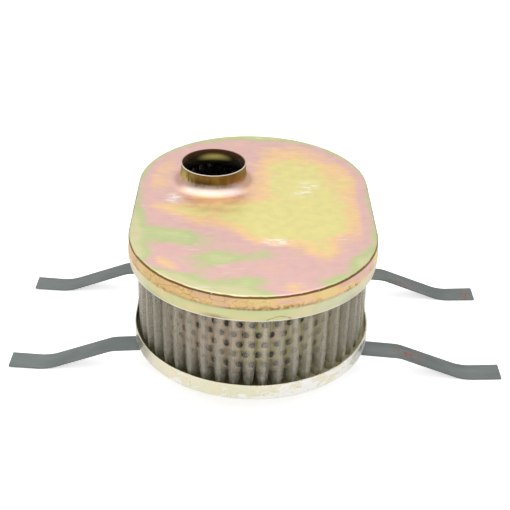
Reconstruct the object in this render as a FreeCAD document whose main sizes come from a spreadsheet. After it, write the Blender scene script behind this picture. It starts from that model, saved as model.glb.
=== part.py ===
import FreeCAD, Part
import math
import os
import Sketcher
from FreeCAD import Placement, Rotation, Vector

# Suction filter for a hydraulic tank: an oval pleated strainer with a magnet, on four leaf-spring legs.
# The origin lies under the middle of the pan, on the plane that the four feet stand on. +Z is up,
# +Y runs along the oval towards the neck, and the legs reach out along X. Lengths are in millimetres
# and angles in degrees.

SIZES = {
    # Oval casing
    "cap_radius": 60.0,
    "half_straight": 26.9,
    "casing_height": 57.4,
    "stand_height": 17.0,
    "plate": 0.8,
    # Top cap
    "cap_edge_round": 1.8,
    "cap_depth": 13.1,
    "upper_band": 6.0,
    "band_step": 0.6,
    "band_swell": 0.4,
    "edge_turn_in": 0.6,
    "edge_turn_height": 3.0,
    # Drawn neck
    "neck_x": 21.0,
    "neck_y": 26.9,
    "neck_radius": 17.0,
    "neck_height": 10.5,
    "neck_land": 4.0,
    "neck_flare": 8.0,
    "neck_fillet": 4.0,
    # Pan
    "pan_setback": 1.1,
    "pan_depth": 8.4,
    "pan_edge_round": 1.8,
    # Strainer
    "potting_depth": 5.4,
    "core_plate": 0.8,
    "core_hole_radius": 1.4,
    "core_columns": 24,
    "core_rows": 3,
    "core_row_pitch": 11.0,
    "pleats_per_end": 26,
    "pleats_per_side": 8,
    "pleat_gap": 2.1,
    "pleat_depth": 10.9,
    "pleat_bend": 0.9,
    "pleat_clearance": 0.1,
    "cloth": 0.5,
    "clip_plate": 0.4,
    "clip_reach": 4.0,
    "clip_clearance": 0.05,
    # Leaf springs
    "strip_width": 11.6,
    "strip_plate": 1.0,
    "strip_y": 37.1,
    "strip_offset": 2.5,
    "strip_skew": 0.78,
    "strip_flat": 20.0,
    "spring_bend": 60.0,
    "knee_x": 72.0,
    "knee_drop": 3.9,
    "knee_bend": 14.0,
    "foot_x": 108.1,
    "foot_bend": 22.0,
    "toe_x": 124.3,
    "toe_lift": 0.9,
    # Rivets
    "rivet_spacing": 28.0,
    "rivet_radius": 2.5,
    "rivet_head_radius": 4.5,
    "rivet_head_height": 1.8,
    "rivet_clearance": 0.05,
    # Magnet
    "magnet_radius": 20.0,
    "magnet_height": 10.0,
    "pole_radius": 22.0,
    "pole_plate": 1.5,
    "magnet_rivet_radius": 3.0,
    "magnet_head_radius": 6.0,
    "magnet_head_height": 2.4,
}

doc = FreeCAD.newDocument("SuctionFilter")
sheet = doc.addObject("Spreadsheet::Sheet", "Sizes")
for row, (alias, number) in enumerate(SIZES.items(), start=1):
    sheet.set(f"A{row}", alias)
    sheet.set(f"B{row}", str(number))
    sheet.setAlias(f"B{row}", alias)
doc.recompute()

# End radii, each worked out from the cap inwards: the pan's wall, the cloth's outer folds and the core
PAN_RADIUS = "(Sizes.cap_radius - Sizes.pan_setback)"
TIP_RADIUS = f"({PAN_RADIUS} - Sizes.plate - Sizes.pleat_gap)"
ROOT_RADIUS = f"({TIP_RADIUS} - Sizes.pleat_depth)"
CORE_RADIUS = f"({ROOT_RADIUS} - Sizes.pleat_clearance)"

# The sides of each punched hole: few, because there are so many holes
HOLE_SIDES = 6

# Heights that several pieces share
PAN_UNDER = "Sizes.stand_height"
PAN_FLOOR = "(Sizes.stand_height + Sizes.plate)"
CAP_TOP = "(Sizes.stand_height + Sizes.casing_height)"
CAP_UNDER = "(Sizes.stand_height + Sizes.casing_height - Sizes.plate)"
POTTING_TOP = f"({PAN_FLOOR} + Sizes.potting_depth)"
POTTING_UNDER = f"({CAP_UNDER} - Sizes.potting_depth)"


def size(expression):
    """The number that an expression of the sheet gives."""
    result = sheet.evalExpression(expression)
    return float(getattr(result, "Value", result))


def new_body(label):
    """An empty body whose label names its piece."""
    body = doc.addObject("PartDesign::Body", label.title().replace("_", ""))
    body.Label = label
    return body


def origin_part(body, role):
    """One of a body's own origin planes."""
    return next(item for item in body.Origin.OriginFeatures if item.Role == role)


def new_sketch(body, name, plane, offset=()):
    """A sketch on an origin plane. The offset pairs are paths and expressions."""
    sketch = body.newObject("Sketcher::SketchObject", name)
    sketch.AttachmentSupport = [(origin_part(body, plane), "")]
    sketch.MapMode = "FlatFace"
    for path, expression in offset:
        sketch.setExpression(f"AttachmentOffset.{path}", expression)
    return sketch


def bind(sketch, kind, *arguments, to):
    """A constraint whose value is an expression of the sheet."""
    index = sketch.addConstraint(Sketcher.Constraint(kind, *arguments, size(to)))
    sketch.setExpression(f"Constraints[{index}]", to)


def pin_point(sketch, geometry, end, x, y):
    """Hold a point at two coordinates that expressions give."""
    for kind, axis, expression in (("DistanceX", -2, x), ("DistanceY", -1, y)):
        if expression == "0":
            sketch.addConstraint(Sketcher.Constraint("PointOnObject", geometry, end, axis))
        else:
            bind(sketch, kind, -1, 1, geometry, end, to=expression)


def arc_between(start, end, radius, turn):
    """The arc from start to end that turns left (+1) or right (-1) and is under half a circle."""
    half = (end - start) * 0.5
    towards_centre = Vector(-half.y, half.x, 0).normalize() * turn
    centre = start + half + towards_centre * math.sqrt(max(radius**2 - half.Length**2, 0.0))
    first, last = (start, end) if turn > 0 else (end, start)
    angles = [math.atan2(point.y - centre.y, point.x - centre.x) for point in (first, last)]
    return Part.ArcOfCircle(Part.Circle(centre, Vector(0, 0, 1), radius), angles[0], angles[1])


def draw_outline(sketch, corners):
    """A closed outline. A corner is (x, y), or (x, y, radius, turn) where an arc starts there."""
    places = [Vector(size(corner[0]), size(corner[1]), 0) for corner in corners]
    edges = []
    for corner, start, end in zip(corners, places, places[1:] + places[:1]):
        if len(corner) == 2:
            edges.append((sketch.addGeometry(Part.LineSegment(start, end), False), 1, 2))
            continue
        x, y, radius, turn = corner
        index = sketch.addGeometry(arc_between(start, end, size(radius), turn), False)
        bind(sketch, "Radius", index, to=radius)
        edges.append((index, 1, 2) if turn > 0 else (index, 2, 1))
    for corner, before, here in zip(corners, edges[-1:] + edges[:-1], edges):
        sketch.addConstraint(Sketcher.Constraint("Coincident", before[0], before[2], here[0], here[1]))
        pin_point(sketch, here[0], here[1], corner[0], corner[1])


def draw_circle(sketch, x, y, radius):
    """A circle whose centre and radius are expressions."""
    circle = Part.Circle(Vector(size(x), size(y), 0), Vector(0, 0, 1), size(radius))
    index = sketch.addGeometry(circle, False)
    bind(sketch, "Radius", index, to=radius)
    pin_point(sketch, index, 3, x, y)


def revolve(body, name, sketch, angle):
    """A revolution of a sketch about its own vertical axis."""
    feature = body.newObject("PartDesign::Revolution", name)
    feature.Profile = sketch
    feature.ReferenceAxis = (sketch, ["V_Axis"])
    feature.Angle = angle
    return feature


def mirror(body, name, plane):
    """The whole body so far, doubled across an origin plane."""
    doc.recompute()
    copy = body.newObject("PartDesign::Mirrored", name)
    copy.TransformMode = "Whole shape"
    copy.MirrorPlane = (origin_part(body, plane), [""])
    body.Tip = copy
    doc.recompute()


def drill_up(body, name, sketch):
    """Holes of a sketch on the ground plane, cut upwards through the whole piece."""
    hole = body.newObject("PartDesign::Pocket", name)
    hole.Profile = sketch
    hole.Type = "ThroughAll"
    hole.Reversed = True


def oval_body(label, section):
    """A piece with the casing's oval plan: its wall section runs along the straight sides and turns
    round both ends. The section is drawn at the +X side, with x from the oval's middle."""
    body = new_body(label)
    side_section = new_sketch(body, body.Name + "SideSection", "XZ_Plane")
    draw_outline(side_section, section)
    side = body.newObject("PartDesign::Pad", body.Name + "Side")
    side.Profile = side_section
    side.SideType = "Symmetric"
    side.setExpression("Length", "2 * Sizes.half_straight")
    end_section = new_sketch(body, body.Name + "EndSection", "XZ_Plane",
                             [("Base.z", "-Sizes.half_straight")])
    draw_outline(end_section, section)
    revolve(body, body.Name + "End", end_section, 180)
    mirror(body, body.Name + "OtherEnd", "XZ_Plane")
    mirror(body, body.Name + "OtherSide", "YZ_Plane")
    return body


def rectangle(inner, outer, low, high):
    """The corners of a plain section."""
    return [(inner, low), (outer, low), (outer, high), (inner, high)]


def top_cap():
    """Pressed cap: flat top, upper band, a small step out to a swelled lower band, and the neck."""
    radius = "Sizes.cap_radius"
    swell = "(Sizes.cap_radius + Sizes.band_swell)"
    edge = f"({swell} - Sizes.edge_turn_in)"
    round_low = f"{CAP_TOP} - Sizes.cap_edge_round"
    round_start = f"{radius} - Sizes.cap_edge_round"
    step_top = f"{CAP_TOP} - Sizes.upper_band"
    step_low = f"{step_top} - Sizes.band_step"
    edge_low = f"{CAP_TOP} - Sizes.cap_depth"
    turn_top = f"{edge_low} + Sizes.edge_turn_height"
    body = oval_body("top_cap", [
        ("0", CAP_TOP),
        ("0", CAP_UNDER),
        (round_start, CAP_UNDER, "Sizes.cap_edge_round - Sizes.plate", -1),
        (f"{radius} - Sizes.plate", round_low),
        (f"{radius} - Sizes.plate", step_top),
        (f"{swell} - Sizes.plate", step_low),
        (f"{swell} - Sizes.plate", turn_top),
        (f"{edge} - Sizes.plate", edge_low),
        (edge, edge_low),
        (swell, turn_top),
        (swell, step_low),
        (radius, step_top),
        (radius, round_low, "Sizes.cap_edge_round", 1),
        (round_start, CAP_TOP),
    ])
    # The neck's wall: a short cylinder at the lip, a flare below it, and a fillet to the flat top
    flare = "(Sizes.neck_flare * 1deg)"
    fillet = "Sizes.neck_fillet"
    flare_height = f"(Sizes.neck_height - Sizes.neck_land - {fillet} * (1 - sin({flare})))"
    fillet_x = f"(Sizes.neck_radius + {flare_height} * tan({flare}) + {fillet} * cos({flare}))"
    fillet_z = f"({CAP_TOP} + {fillet})"
    inner_fillet = f"({fillet} + Sizes.plate)"
    bore = "Sizes.neck_radius - Sizes.plate"
    lip = f"{CAP_TOP} + Sizes.neck_height"
    land_low = f"{lip} - Sizes.neck_land"
    hole = new_sketch(body, "NeckHole", "XY_Plane",
                      [("Base.x", "-Sizes.neck_x"), ("Base.y", "Sizes.neck_y")])
    draw_circle(hole, "0", "0", fillet_x)
    drill_up(body, "NeckOpening", hole)
    section = new_sketch(body, "NeckSection", "XZ_Plane",
                         [("Base.x", "-Sizes.neck_x"), ("Base.z", "-Sizes.neck_y")])
    draw_outline(section, [
        (fillet_x, CAP_TOP, fillet, -1),
        (f"{fillet_x} - {fillet} * cos({flare})", f"{fillet_z} - {fillet} * sin({flare})"),
        ("Sizes.neck_radius", land_low),
        ("Sizes.neck_radius", lip),
        (bore, lip),
        (bore, land_low),
        (f"{fillet_x} - {inner_fillet} * cos({flare})", f"{fillet_z} - {inner_fillet} * sin({flare})",
         inner_fillet, 1),
        (fillet_x, CAP_UNDER),
    ])
    revolve(body, "Neck", section, 360)
    return body


def bottom_pan():
    """Shallow pressed pan with an upright rim, and holes for the rivets."""
    radius = PAN_RADIUS
    inside = f"{radius} - Sizes.plate"
    round_start = f"{radius} - Sizes.pan_edge_round"
    round_top = f"{PAN_UNDER} + Sizes.pan_edge_round"
    rim = f"{PAN_UNDER} + Sizes.pan_depth"
    body = oval_body("bottom_pan", [
        ("0", PAN_UNDER),
        (round_start, PAN_UNDER, "Sizes.pan_edge_round", 1),
        (radius, round_top),
        (radius, rim),
        (inside, rim),
        (inside, round_top, "Sizes.pan_edge_round - Sizes.plate", -1),
        (round_start, PAN_FLOOR),
        ("0", PAN_FLOOR),
    ])
    for name, side in (("Front", "-"), ("Back", "")):
        holes = new_sketch(body, f"{name}RivetHoles", "XY_Plane", strip_place(side))
        draw_rivet_holes(holes)
        drill_up(body, f"{name}RivetDrilling", holes)
    middle = new_sketch(body, "MagnetRivetHole", "XY_Plane")
    draw_circle(middle, "0", "0", "Sizes.magnet_rivet_radius + Sizes.rivet_clearance")
    drill_up(body, "MagnetRivetDrilling", middle)
    return body


def top_potting():
    """Resin ring inside the cap, from the core out to the band, with a chamfer in the cap's corner."""
    inside = "Sizes.cap_radius - Sizes.plate"
    return oval_body("top_potting", [
        (CORE_RADIUS, POTTING_UNDER),
        (inside, POTTING_UNDER),
        (inside, f"{CAP_TOP} - Sizes.cap_edge_round"),
        ("Sizes.cap_radius - Sizes.cap_edge_round", CAP_UNDER),
        (CORE_RADIUS, CAP_UNDER),
    ])


def bottom_potting():
    """Resin ring in the pan, from the core out to the rim, with a chamfer in the pan's corner."""
    inside = f"{PAN_RADIUS} - Sizes.plate"
    return oval_body("bottom_potting", [
        (CORE_RADIUS, PAN_FLOOR),
        (f"{PAN_RADIUS} - Sizes.pan_edge_round", PAN_FLOOR),
        (inside, f"{PAN_UNDER} + Sizes.pan_edge_round"),
        (inside, POTTING_TOP),
        (CORE_RADIUS, POTTING_TOP),
    ])


def along_oval(radius, distance):
    """The point at a distance along an oval of a given end radius, and the outward direction there.
    The distance counts anticlockwise from the middle of the +X side."""
    straight = 2 * size("Sizes.half_straight")
    turn = math.pi * radius
    far_side, distance = divmod(distance + straight / 2, straight + turn)
    if distance <= straight:
        point, outward = Vector(radius, distance - straight / 2, 0), Vector(1, 0, 0)
    else:
        angle = (distance - straight) / radius
        outward = Vector(math.cos(angle), math.sin(angle), 0)
        point = outward * radius + Vector(0, straight / 2, 0)
    return (-point, -outward) if far_side % 2 else (point, outward)


def many_sided_drill(start, direction, radius, reach):
    """A level bar with flat sides and a corner at its top, for one hole."""
    up = Vector(0, 0, 1)
    across = direction.cross(up)
    corners = []
    for i in range(HOLE_SIDES + 1):
        angle = 2 * math.pi * i / HOLE_SIDES
        corners.append(start + (up * math.cos(angle) + across * math.sin(angle)) * radius)
    return Part.Face(Part.makePolygon(corners)).extrude(direction * reach)


def perforated_core():
    """Perforated sheet rolled to the oval, standing between the pan's floor and the cap's top."""
    tube = oval_body("core_tube", rectangle(
        f"{CORE_RADIUS} - Sizes.core_plate", CORE_RADIUS, PAN_FLOOR, CAP_UNDER))
    radius = size(CORE_RADIUS)
    reach = size("Sizes.core_plate")
    columns, rows = round(size("Sizes.core_columns")), round(size("Sizes.core_rows"))
    column_pitch = (4 * size("Sizes.half_straight") + 2 * math.pi * radius) / columns
    middle = size(f"({PAN_FLOOR} + {CAP_UNDER}) / 2")
    drills = []
    for r in range(rows):
        level = middle + (r - (rows - 1) / 2) * size("Sizes.core_row_pitch")
        for column in range(columns):
            point, outward = along_oval(radius, (column + r % 2 / 2) * column_pitch)
            start = point + Vector(0, 0, level) - outward * 2 * reach
            drills.append(many_sided_drill(start, outward, size("Sizes.core_hole_radius"), 3 * reach))
    tool = doc.addObject("Part::Feature", "CoreDrills")
    tool.Shape = Part.makeCompound(drills)
    core = doc.addObject("Part::Cut", "PerforatedCore")
    core.Base = tube
    core.Tool = tool
    core.Label = "perforated_core"
    return core


class Pleats:
    """The line of the pleated cloth: straight flanks, joined at tips and roots by bends that are
    drawn as two flats each, through the bend's crown."""

    def __init__(self):
        self.per_end = round(size("Sizes.pleats_per_end"))
        self.per_side = round(size("Sizes.pleats_per_side"))
        self.count = 2 * (self.per_end + self.per_side)
        self.bend = size("Sizes.pleat_bend")
        self.skin = size("Sizes.cloth") / 2
        self.straight = size("Sizes.half_straight")
        self.tip_line = size(TIP_RADIUS) - self.skin - self.bend
        self.root_line = size(ROOT_RADIUS) + self.skin + self.bend

    def bend_centre(self, station, radius):
        """The centre of the bend at a station, and the outward direction there. Whole stations are
        roots and half ones tips, counted anticlockwise from the start of the back end."""
        far_side, station = divmod(station, self.count / 2)
        if station <= self.per_end:
            angle = math.pi * station / self.per_end
            outward = Vector(math.cos(angle), math.sin(angle), 0)
            centre = outward * radius + Vector(0, self.straight, 0)
        else:
            share = (station - self.per_end) / self.per_side
            outward = Vector(-1, 0, 0)
            centre = Vector(-radius, self.straight * (1 - 2 * share), 0)
        return (-centre, -outward) if far_side % 2 else (centre, outward)

    def flank(self, tip_station, side, offset):
        """The two ends of a flank, at its tip and its root. The side is +1 for the flank that follows
        the tip anticlockwise, and the offset is how far the line lies outside the cloth's middle."""
        tip, _ = self.bend_centre(tip_station, self.tip_line)
        root, _ = self.bend_centre(tip_station + side / 2, self.root_line)
        inward = (root - tip).normalize()
        along = Vector(inward.y, -inward.x, 0) * side
        lean = 2 * self.bend / (root - tip).Length
        normal = inward * lean + along * math.sqrt(1 - lean**2)
        return tip + normal * (self.bend + offset), root - normal * (self.bend - offset)

    def crown(self, station, offset):
        """The middle of the bend over a tip or at a root."""
        is_tip = station % 1 == 0.5
        centre, outward = self.bend_centre(station, self.tip_line if is_tip else self.root_line)
        reach = self.bend + offset if is_tip else offset - self.bend
        return centre + outward * reach

    def wire(self, offset):
        """The closed line of all the pleats."""
        corners = []
        for root in range(self.count):
            tip = root + 0.5
            tip_start, root_end = self.flank(tip, -1, offset)
            tip_end, next_root = self.flank(tip, 1, offset)
            corners += [self.crown(root, offset), root_end, tip_start, self.crown(tip, offset),
                        tip_end, next_root]
        return Part.makePolygon(corners + corners[:1])

    def clip_face(self, station, inner, outer, reach):
        """The section of a folded clip over one tip."""
        corners = []
        for offset, order in ((inner, 1), (outer, -1)):
            before, root_before = self.flank(station, -1, offset)
            after, root_after = self.flank(station, 1, offset)
            line = [before + (root_before - before).normalize() * reach, before,
                    self.crown(station, offset),
                    after, after + (root_after - after).normalize() * reach]
            corners += line[::order]
        return Part.Face(Part.makePolygon(corners + corners[:1]))


def stand_between_pottings(label, face):
    """A piece of one flat section, from the lower resin to the upper."""
    piece = doc.addObject("Part::Feature", label.title().replace("_", ""))
    piece.Label = label
    piece.Shape = face.extrude(Vector(0, 0, size(f"{POTTING_UNDER} - {POTTING_TOP}")))
    piece.Placement = Placement(Vector(0, 0, size(POTTING_TOP)), Rotation())
    return piece


def pleated_mesh():
    """One band of woven cloth folded into pleats and closed round the oval."""
    pleats = Pleats()
    wires = [pleats.wire(pleats.skin), pleats.wire(-pleats.skin)]
    return stand_between_pottings("pleated_mesh", Part.makeFace(wires, "Part::FaceMakerBullseye"))


def mesh_seam_clip():
    """Folded strip that closes the ends of the cloth, over the pleat in the middle of the back."""
    pleats = Pleats()
    inner = pleats.skin + size("Sizes.clip_clearance")
    face = pleats.clip_face(pleats.per_end // 2 + 0.5, inner, inner + size("Sizes.clip_plate"),
                            size("Sizes.clip_reach"))
    return stand_between_pottings("mesh_seam_clip", face)


def strip_place(side):
    """Where a strip sits under the pan, as offset pairs. The side is "-" for the front."""
    return [
        ("Base.x", "Sizes.strip_offset"),
        ("Base.y", f"{side}Sizes.strip_y"),
        ("Rotation.Angle", "-Sizes.strip_skew"),
    ]


def draw_rivet_holes(sketch):
    """Two holes on the sketch's first axis, an equal way each side of its origin."""
    radius = "Sizes.rivet_radius + Sizes.rivet_clearance"
    draw_circle(sketch, "Sizes.rivet_spacing / 2", "0", radius)
    twin = Part.Circle(Vector(-size("Sizes.rivet_spacing / 2"), 0, 0), Vector(0, 0, 1), size(radius))
    index = sketch.addGeometry(twin, False)
    sketch.addConstraint(Sketcher.Constraint("Equal", 0, index))
    sketch.addConstraint(Sketcher.Constraint("Symmetric", 0, 3, index, 3, -1, 1))


def draw_leaf_line(sketch):
    """The middle line of half a leaf spring: flat under the pan, a gentle fall to the knee, a steeper
    one to the foot, and a toe that turns up. The foot's bend touches the ground."""
    middle = f"({PAN_UNDER} - Sizes.strip_plate / 2)"
    foot_middle = "(Sizes.foot_bend + Sizes.strip_plate / 2)"
    knee_z = f"({middle} - Sizes.knee_drop)"
    toe_z = "(Sizes.strip_plate / 2 + Sizes.toe_lift)"
    corners = [("0", middle), ("Sizes.strip_flat", middle), ("Sizes.knee_x", knee_z),
               ("Sizes.foot_x", "Sizes.strip_plate / 2"), ("Sizes.toe_x", toe_z)]
    bends = ["Sizes.spring_bend", "Sizes.knee_bend", "Sizes.foot_bend"]
    places = [Vector(size(x), size(z), 0) for x, z in corners]
    cuts = [places[0]]
    turns = []
    for before, here, after, bend in zip(places, places[1:], places[2:], bends):
        arrive, leave = (here - before).normalize(), (after - here).normalize()
        setback = size(bend) * math.tan(arrive.getAngle(leave) / 2)
        cuts += [here - arrive * setback, here + leave * setback]
        turns.append(1 if arrive.cross(leave).z > 0 else -1)
    cuts.append(places[-1])
    lines = [sketch.addGeometry(Part.LineSegment(start, end), False)
             for start, end in zip(cuts[::2], cuts[1::2])]
    for i, (turn, bend) in enumerate(zip(turns, bends)):
        arc = sketch.addGeometry(arc_between(cuts[2 * i + 1], cuts[2 * i + 2], size(bend), turn), False)
        first, last = (1, 2) if turn > 0 else (2, 1)
        sketch.addConstraint(Sketcher.Constraint("Tangent", lines[i], 2, arc, first))
        sketch.addConstraint(Sketcher.Constraint("Tangent", arc, last, lines[i + 1], 1))
        bind(sketch, "Radius", arc, to=bend)
    foot = arc
    sketch.addConstraint(Sketcher.Constraint("Horizontal", lines[0]))
    pin_point(sketch, lines[0], 1, *corners[0])
    bind(sketch, "DistanceX", -1, 1, lines[0], 2, to="Sizes.strip_flat")
    pin_point(sketch, lines[1], 2, "Sizes.knee_x", knee_z)
    pin_point(sketch, foot, 3, "Sizes.foot_x", foot_middle)
    pin_point(sketch, lines[3], 2, *corners[-1])


def leaf_spring(label, side):
    """A flat strip of spring steel swept along its line, and mirrored to the other leg."""
    body = new_body(label)
    line = new_sketch(body, body.Name + "Line", "XZ_Plane")
    draw_leaf_line(line)
    section = new_sketch(body, body.Name + "Section", "YZ_Plane")
    half = "Sizes.strip_width / 2"
    low, high = f"{PAN_UNDER} - Sizes.strip_plate", PAN_UNDER
    sketch_box(section, half, low, high)
    leg = body.newObject("PartDesign::AdditivePipe", body.Name + "Leg")
    leg.Profile = section
    leg.Spine = (line, [])
    mirror(body, body.Name + "OtherLeg", "YZ_Plane")
    holes = new_sketch(body, body.Name + "RivetHoles", "XY_Plane")
    draw_rivet_holes(holes)
    drill_up(body, body.Name + "RivetDrilling", holes)
    body.Placement = Placement(Vector(0, 0, 0), Rotation(Vector(0, 0, 1), -size("Sizes.strip_skew")))
    for path, expression in strip_place(side):
        body.setExpression(f"Placement.{path}", expression)
    return body


def sketch_box(sketch, half, low, high):
    """A rectangle that reaches an equal way each side of the sketch's upright axis."""
    corners = [Vector(x, size(z), 0) for x, z in
               ((size(half), low), (size(half), high), (-size(half), high), (-size(half), low))]
    sides = [sketch.addGeometry(Part.LineSegment(a, b), False)
             for a, b in zip(corners, corners[1:] + corners[:1])]
    for here, after in zip(sides, sides[1:] + sides[:1]):
        sketch.addConstraint(Sketcher.Constraint("Coincident", here, 2, after, 1))
    sketch.addConstraint(Sketcher.Constraint("Vertical", sides[0]))
    pin_point(sketch, sides[0], 1, half, low)
    bind(sketch, "DistanceY", -1, 1, sides[0], 2, to=high)
    sketch.addConstraint(Sketcher.Constraint("Symmetric", sides[1], 1, sides[1], 2, -2))
    sketch.addConstraint(Sketcher.Constraint("Symmetric", sides[3], 1, sides[3], 2, -2))


def rivet(label, shank, head_radius, head_height, low_seat, high_seat, place=()):
    """A rivet with a bevelled head under the lower seat and another on the upper one."""
    body = new_body(label)
    crown = f"{head_radius} - {head_height}"
    section = new_sketch(body, body.Name + "Section", "XZ_Plane")
    draw_outline(section, [
        ("0", f"{low_seat} - {head_height}"),
        (crown, f"{low_seat} - {head_height}"),
        (head_radius, low_seat),
        (shank, low_seat),
        (shank, high_seat),
        (head_radius, high_seat),
        (crown, f"{high_seat} + {head_height}"),
        ("0", f"{high_seat} + {head_height}"),
    ])
    revolve(body, body.Name + "Turning", section, 360)
    for path, expression in place:
        body.setExpression(f"Placement.{path}", expression)
    return body


def strip_rivets():
    """Four rivets, two through each strip and the pan."""
    strip_under = f"({PAN_UNDER} - Sizes.strip_plate)"
    skew = "(Sizes.strip_skew * 1deg)"
    rivets = []
    for end, y in (("front", "-Sizes.strip_y"), ("back", "Sizes.strip_y")):
        for hand, way in (("left", "-"), ("right", "+")):
            along = "Sizes.rivet_spacing / 2"
            opposite = "+" if way == "-" else "-"
            rivets.append(rivet(
                f"{end}_{hand}_rivet", "Sizes.rivet_radius", "Sizes.rivet_head_radius",
                "Sizes.rivet_head_height", strip_under, PAN_FLOOR,
                [("Base.x", f"Sizes.strip_offset {way} {along} * cos({skew})"),
                 ("Base.y", f"{y} {opposite} {along} * sin({skew})")]))
    return rivets


def ring(label, inner, outer, low, high):
    """A flat round ring about the middle of the pan."""
    body = new_body(label)
    section = new_sketch(body, body.Name + "Section", "XZ_Plane")
    draw_outline(section, rectangle(inner, outer, low, high))
    revolve(body, body.Name + "Turning", section, 360)
    return body


def magnet():
    """A ferrite ring between two steel pole plates, riveted to the middle of the pan."""
    bore = "Sizes.magnet_rivet_radius + Sizes.rivet_clearance"
    magnet_low = f"({PAN_FLOOR} + Sizes.pole_plate)"
    magnet_high = f"({magnet_low} + Sizes.magnet_height)"
    top = f"({magnet_high} + Sizes.pole_plate)"
    return [
        ring("lower_pole_plate", bore, "Sizes.pole_radius", PAN_FLOOR, magnet_low),
        ring("magnet_ring", bore, "Sizes.magnet_radius", magnet_low, magnet_high),
        ring("upper_pole_plate", bore, "Sizes.pole_radius", magnet_high, top),
        rivet("magnet_rivet", "Sizes.magnet_rivet_radius", "Sizes.magnet_head_radius",
              "Sizes.magnet_head_height", PAN_UNDER, top),
    ]


pieces = [
    top_cap(), bottom_pan(), top_potting(), bottom_potting(), perforated_core(), pleated_mesh(),
    mesh_seam_clip(), leaf_spring("front_leaf_spring", "-"), leaf_spring("back_leaf_spring", ""),
    *strip_rivets(), *magnet(),
]
doc.recompute()

for item in doc.Objects:
    if "Invalid" in item.State or "Error" in item.State:
        raise RuntimeError(f"{item.Label} failed: {item.State}")
for piece in pieces:
    if piece.Shape.isNull() or not piece.Shape.isValid():
        raise RuntimeError(f"{piece.Label} has no sound shape")

os.makedirs("parts", exist_ok=True)
for piece in pieces:
    piece.Shape.exportStep(f"parts/{piece.Label}.step")
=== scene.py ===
import math
import random

import bmesh
import bpy
from bpy.props import FloatProperty, FloatVectorProperty, IntProperty, PointerProperty
from mathutils import Color, Matrix, Vector, noise


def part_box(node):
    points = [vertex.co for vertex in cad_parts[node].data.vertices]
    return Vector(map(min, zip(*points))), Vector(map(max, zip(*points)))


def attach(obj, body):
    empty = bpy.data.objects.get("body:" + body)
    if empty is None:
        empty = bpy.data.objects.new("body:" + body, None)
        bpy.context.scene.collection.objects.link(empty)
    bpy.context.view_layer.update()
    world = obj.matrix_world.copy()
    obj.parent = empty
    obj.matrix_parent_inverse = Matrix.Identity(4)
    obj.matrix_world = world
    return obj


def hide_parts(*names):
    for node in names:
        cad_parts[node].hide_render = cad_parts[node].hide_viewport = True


# Looks of a suction filter for a hydraulic tank: a pressed, yellow-passivated cap and pan, pleated
# woven wire over a perforated core, cast resin, and leaf springs that carry it. All lengths are in
# metres in the frame of the packed part, which stands on the ground plane with its neck towards +Y.
# Inside the finishes, lengths are in millimetres.

bl_info = {
    "name": "Hydraulic suction filter",
    "version": (1, 0, 0),
    "blender": (4, 5, 0),
    "location": "3D View > Sidebar > Filter",
    "description": "Models and finishes a pleated suction filter around its packed frame",
    "category": "Object",
}

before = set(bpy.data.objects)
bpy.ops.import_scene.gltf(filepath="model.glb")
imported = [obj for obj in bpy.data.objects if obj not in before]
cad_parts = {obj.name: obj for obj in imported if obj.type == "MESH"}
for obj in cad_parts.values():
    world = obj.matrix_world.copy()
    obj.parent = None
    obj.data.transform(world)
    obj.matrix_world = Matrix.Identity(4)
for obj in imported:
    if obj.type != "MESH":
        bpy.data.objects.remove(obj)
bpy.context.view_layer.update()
MM = 0.001
CAP_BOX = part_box("top_cap")
PAN_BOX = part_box("bottom_pan")
LOWER_RESIN_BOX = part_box("bottom_potting")
UPPER_RESIN_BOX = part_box("top_potting")
CORE_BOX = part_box("perforated_core")

# Vertices this close together are one. On a punched or folded sheet they may be a little further apart
MERGE = 0.001 * MM
SHEET_MERGE = 0.01 * MM


def length(name, description, default, least=0.0):
    """A size in metres that a user may change."""
    return FloatProperty(name=name, description=description, default=default, unit="LENGTH",
                         precision=5, min=least)


def angle(name, description, degrees):
    """An angle that a user may change."""
    return FloatProperty(name=name, description=description, default=math.radians(degrees),
                         subtype="ANGLE")


def colour(name, description, code):
    """A finish colour, written as an sRGB hex code and kept linear."""
    return FloatVectorProperty(name=name, description=description, default=linear(code),
                               subtype="COLOR", min=0, max=1)


def linear(code):
    """The linear colour of an sRGB hex code."""
    parts = [int(code[i:i + 2], 16) / 255 for i in (0, 2, 4)]
    return tuple(c / 12.92 if c <= 0.04045 else ((c + 0.055) / 1.055) ** 2.4 for c in parts)


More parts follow.
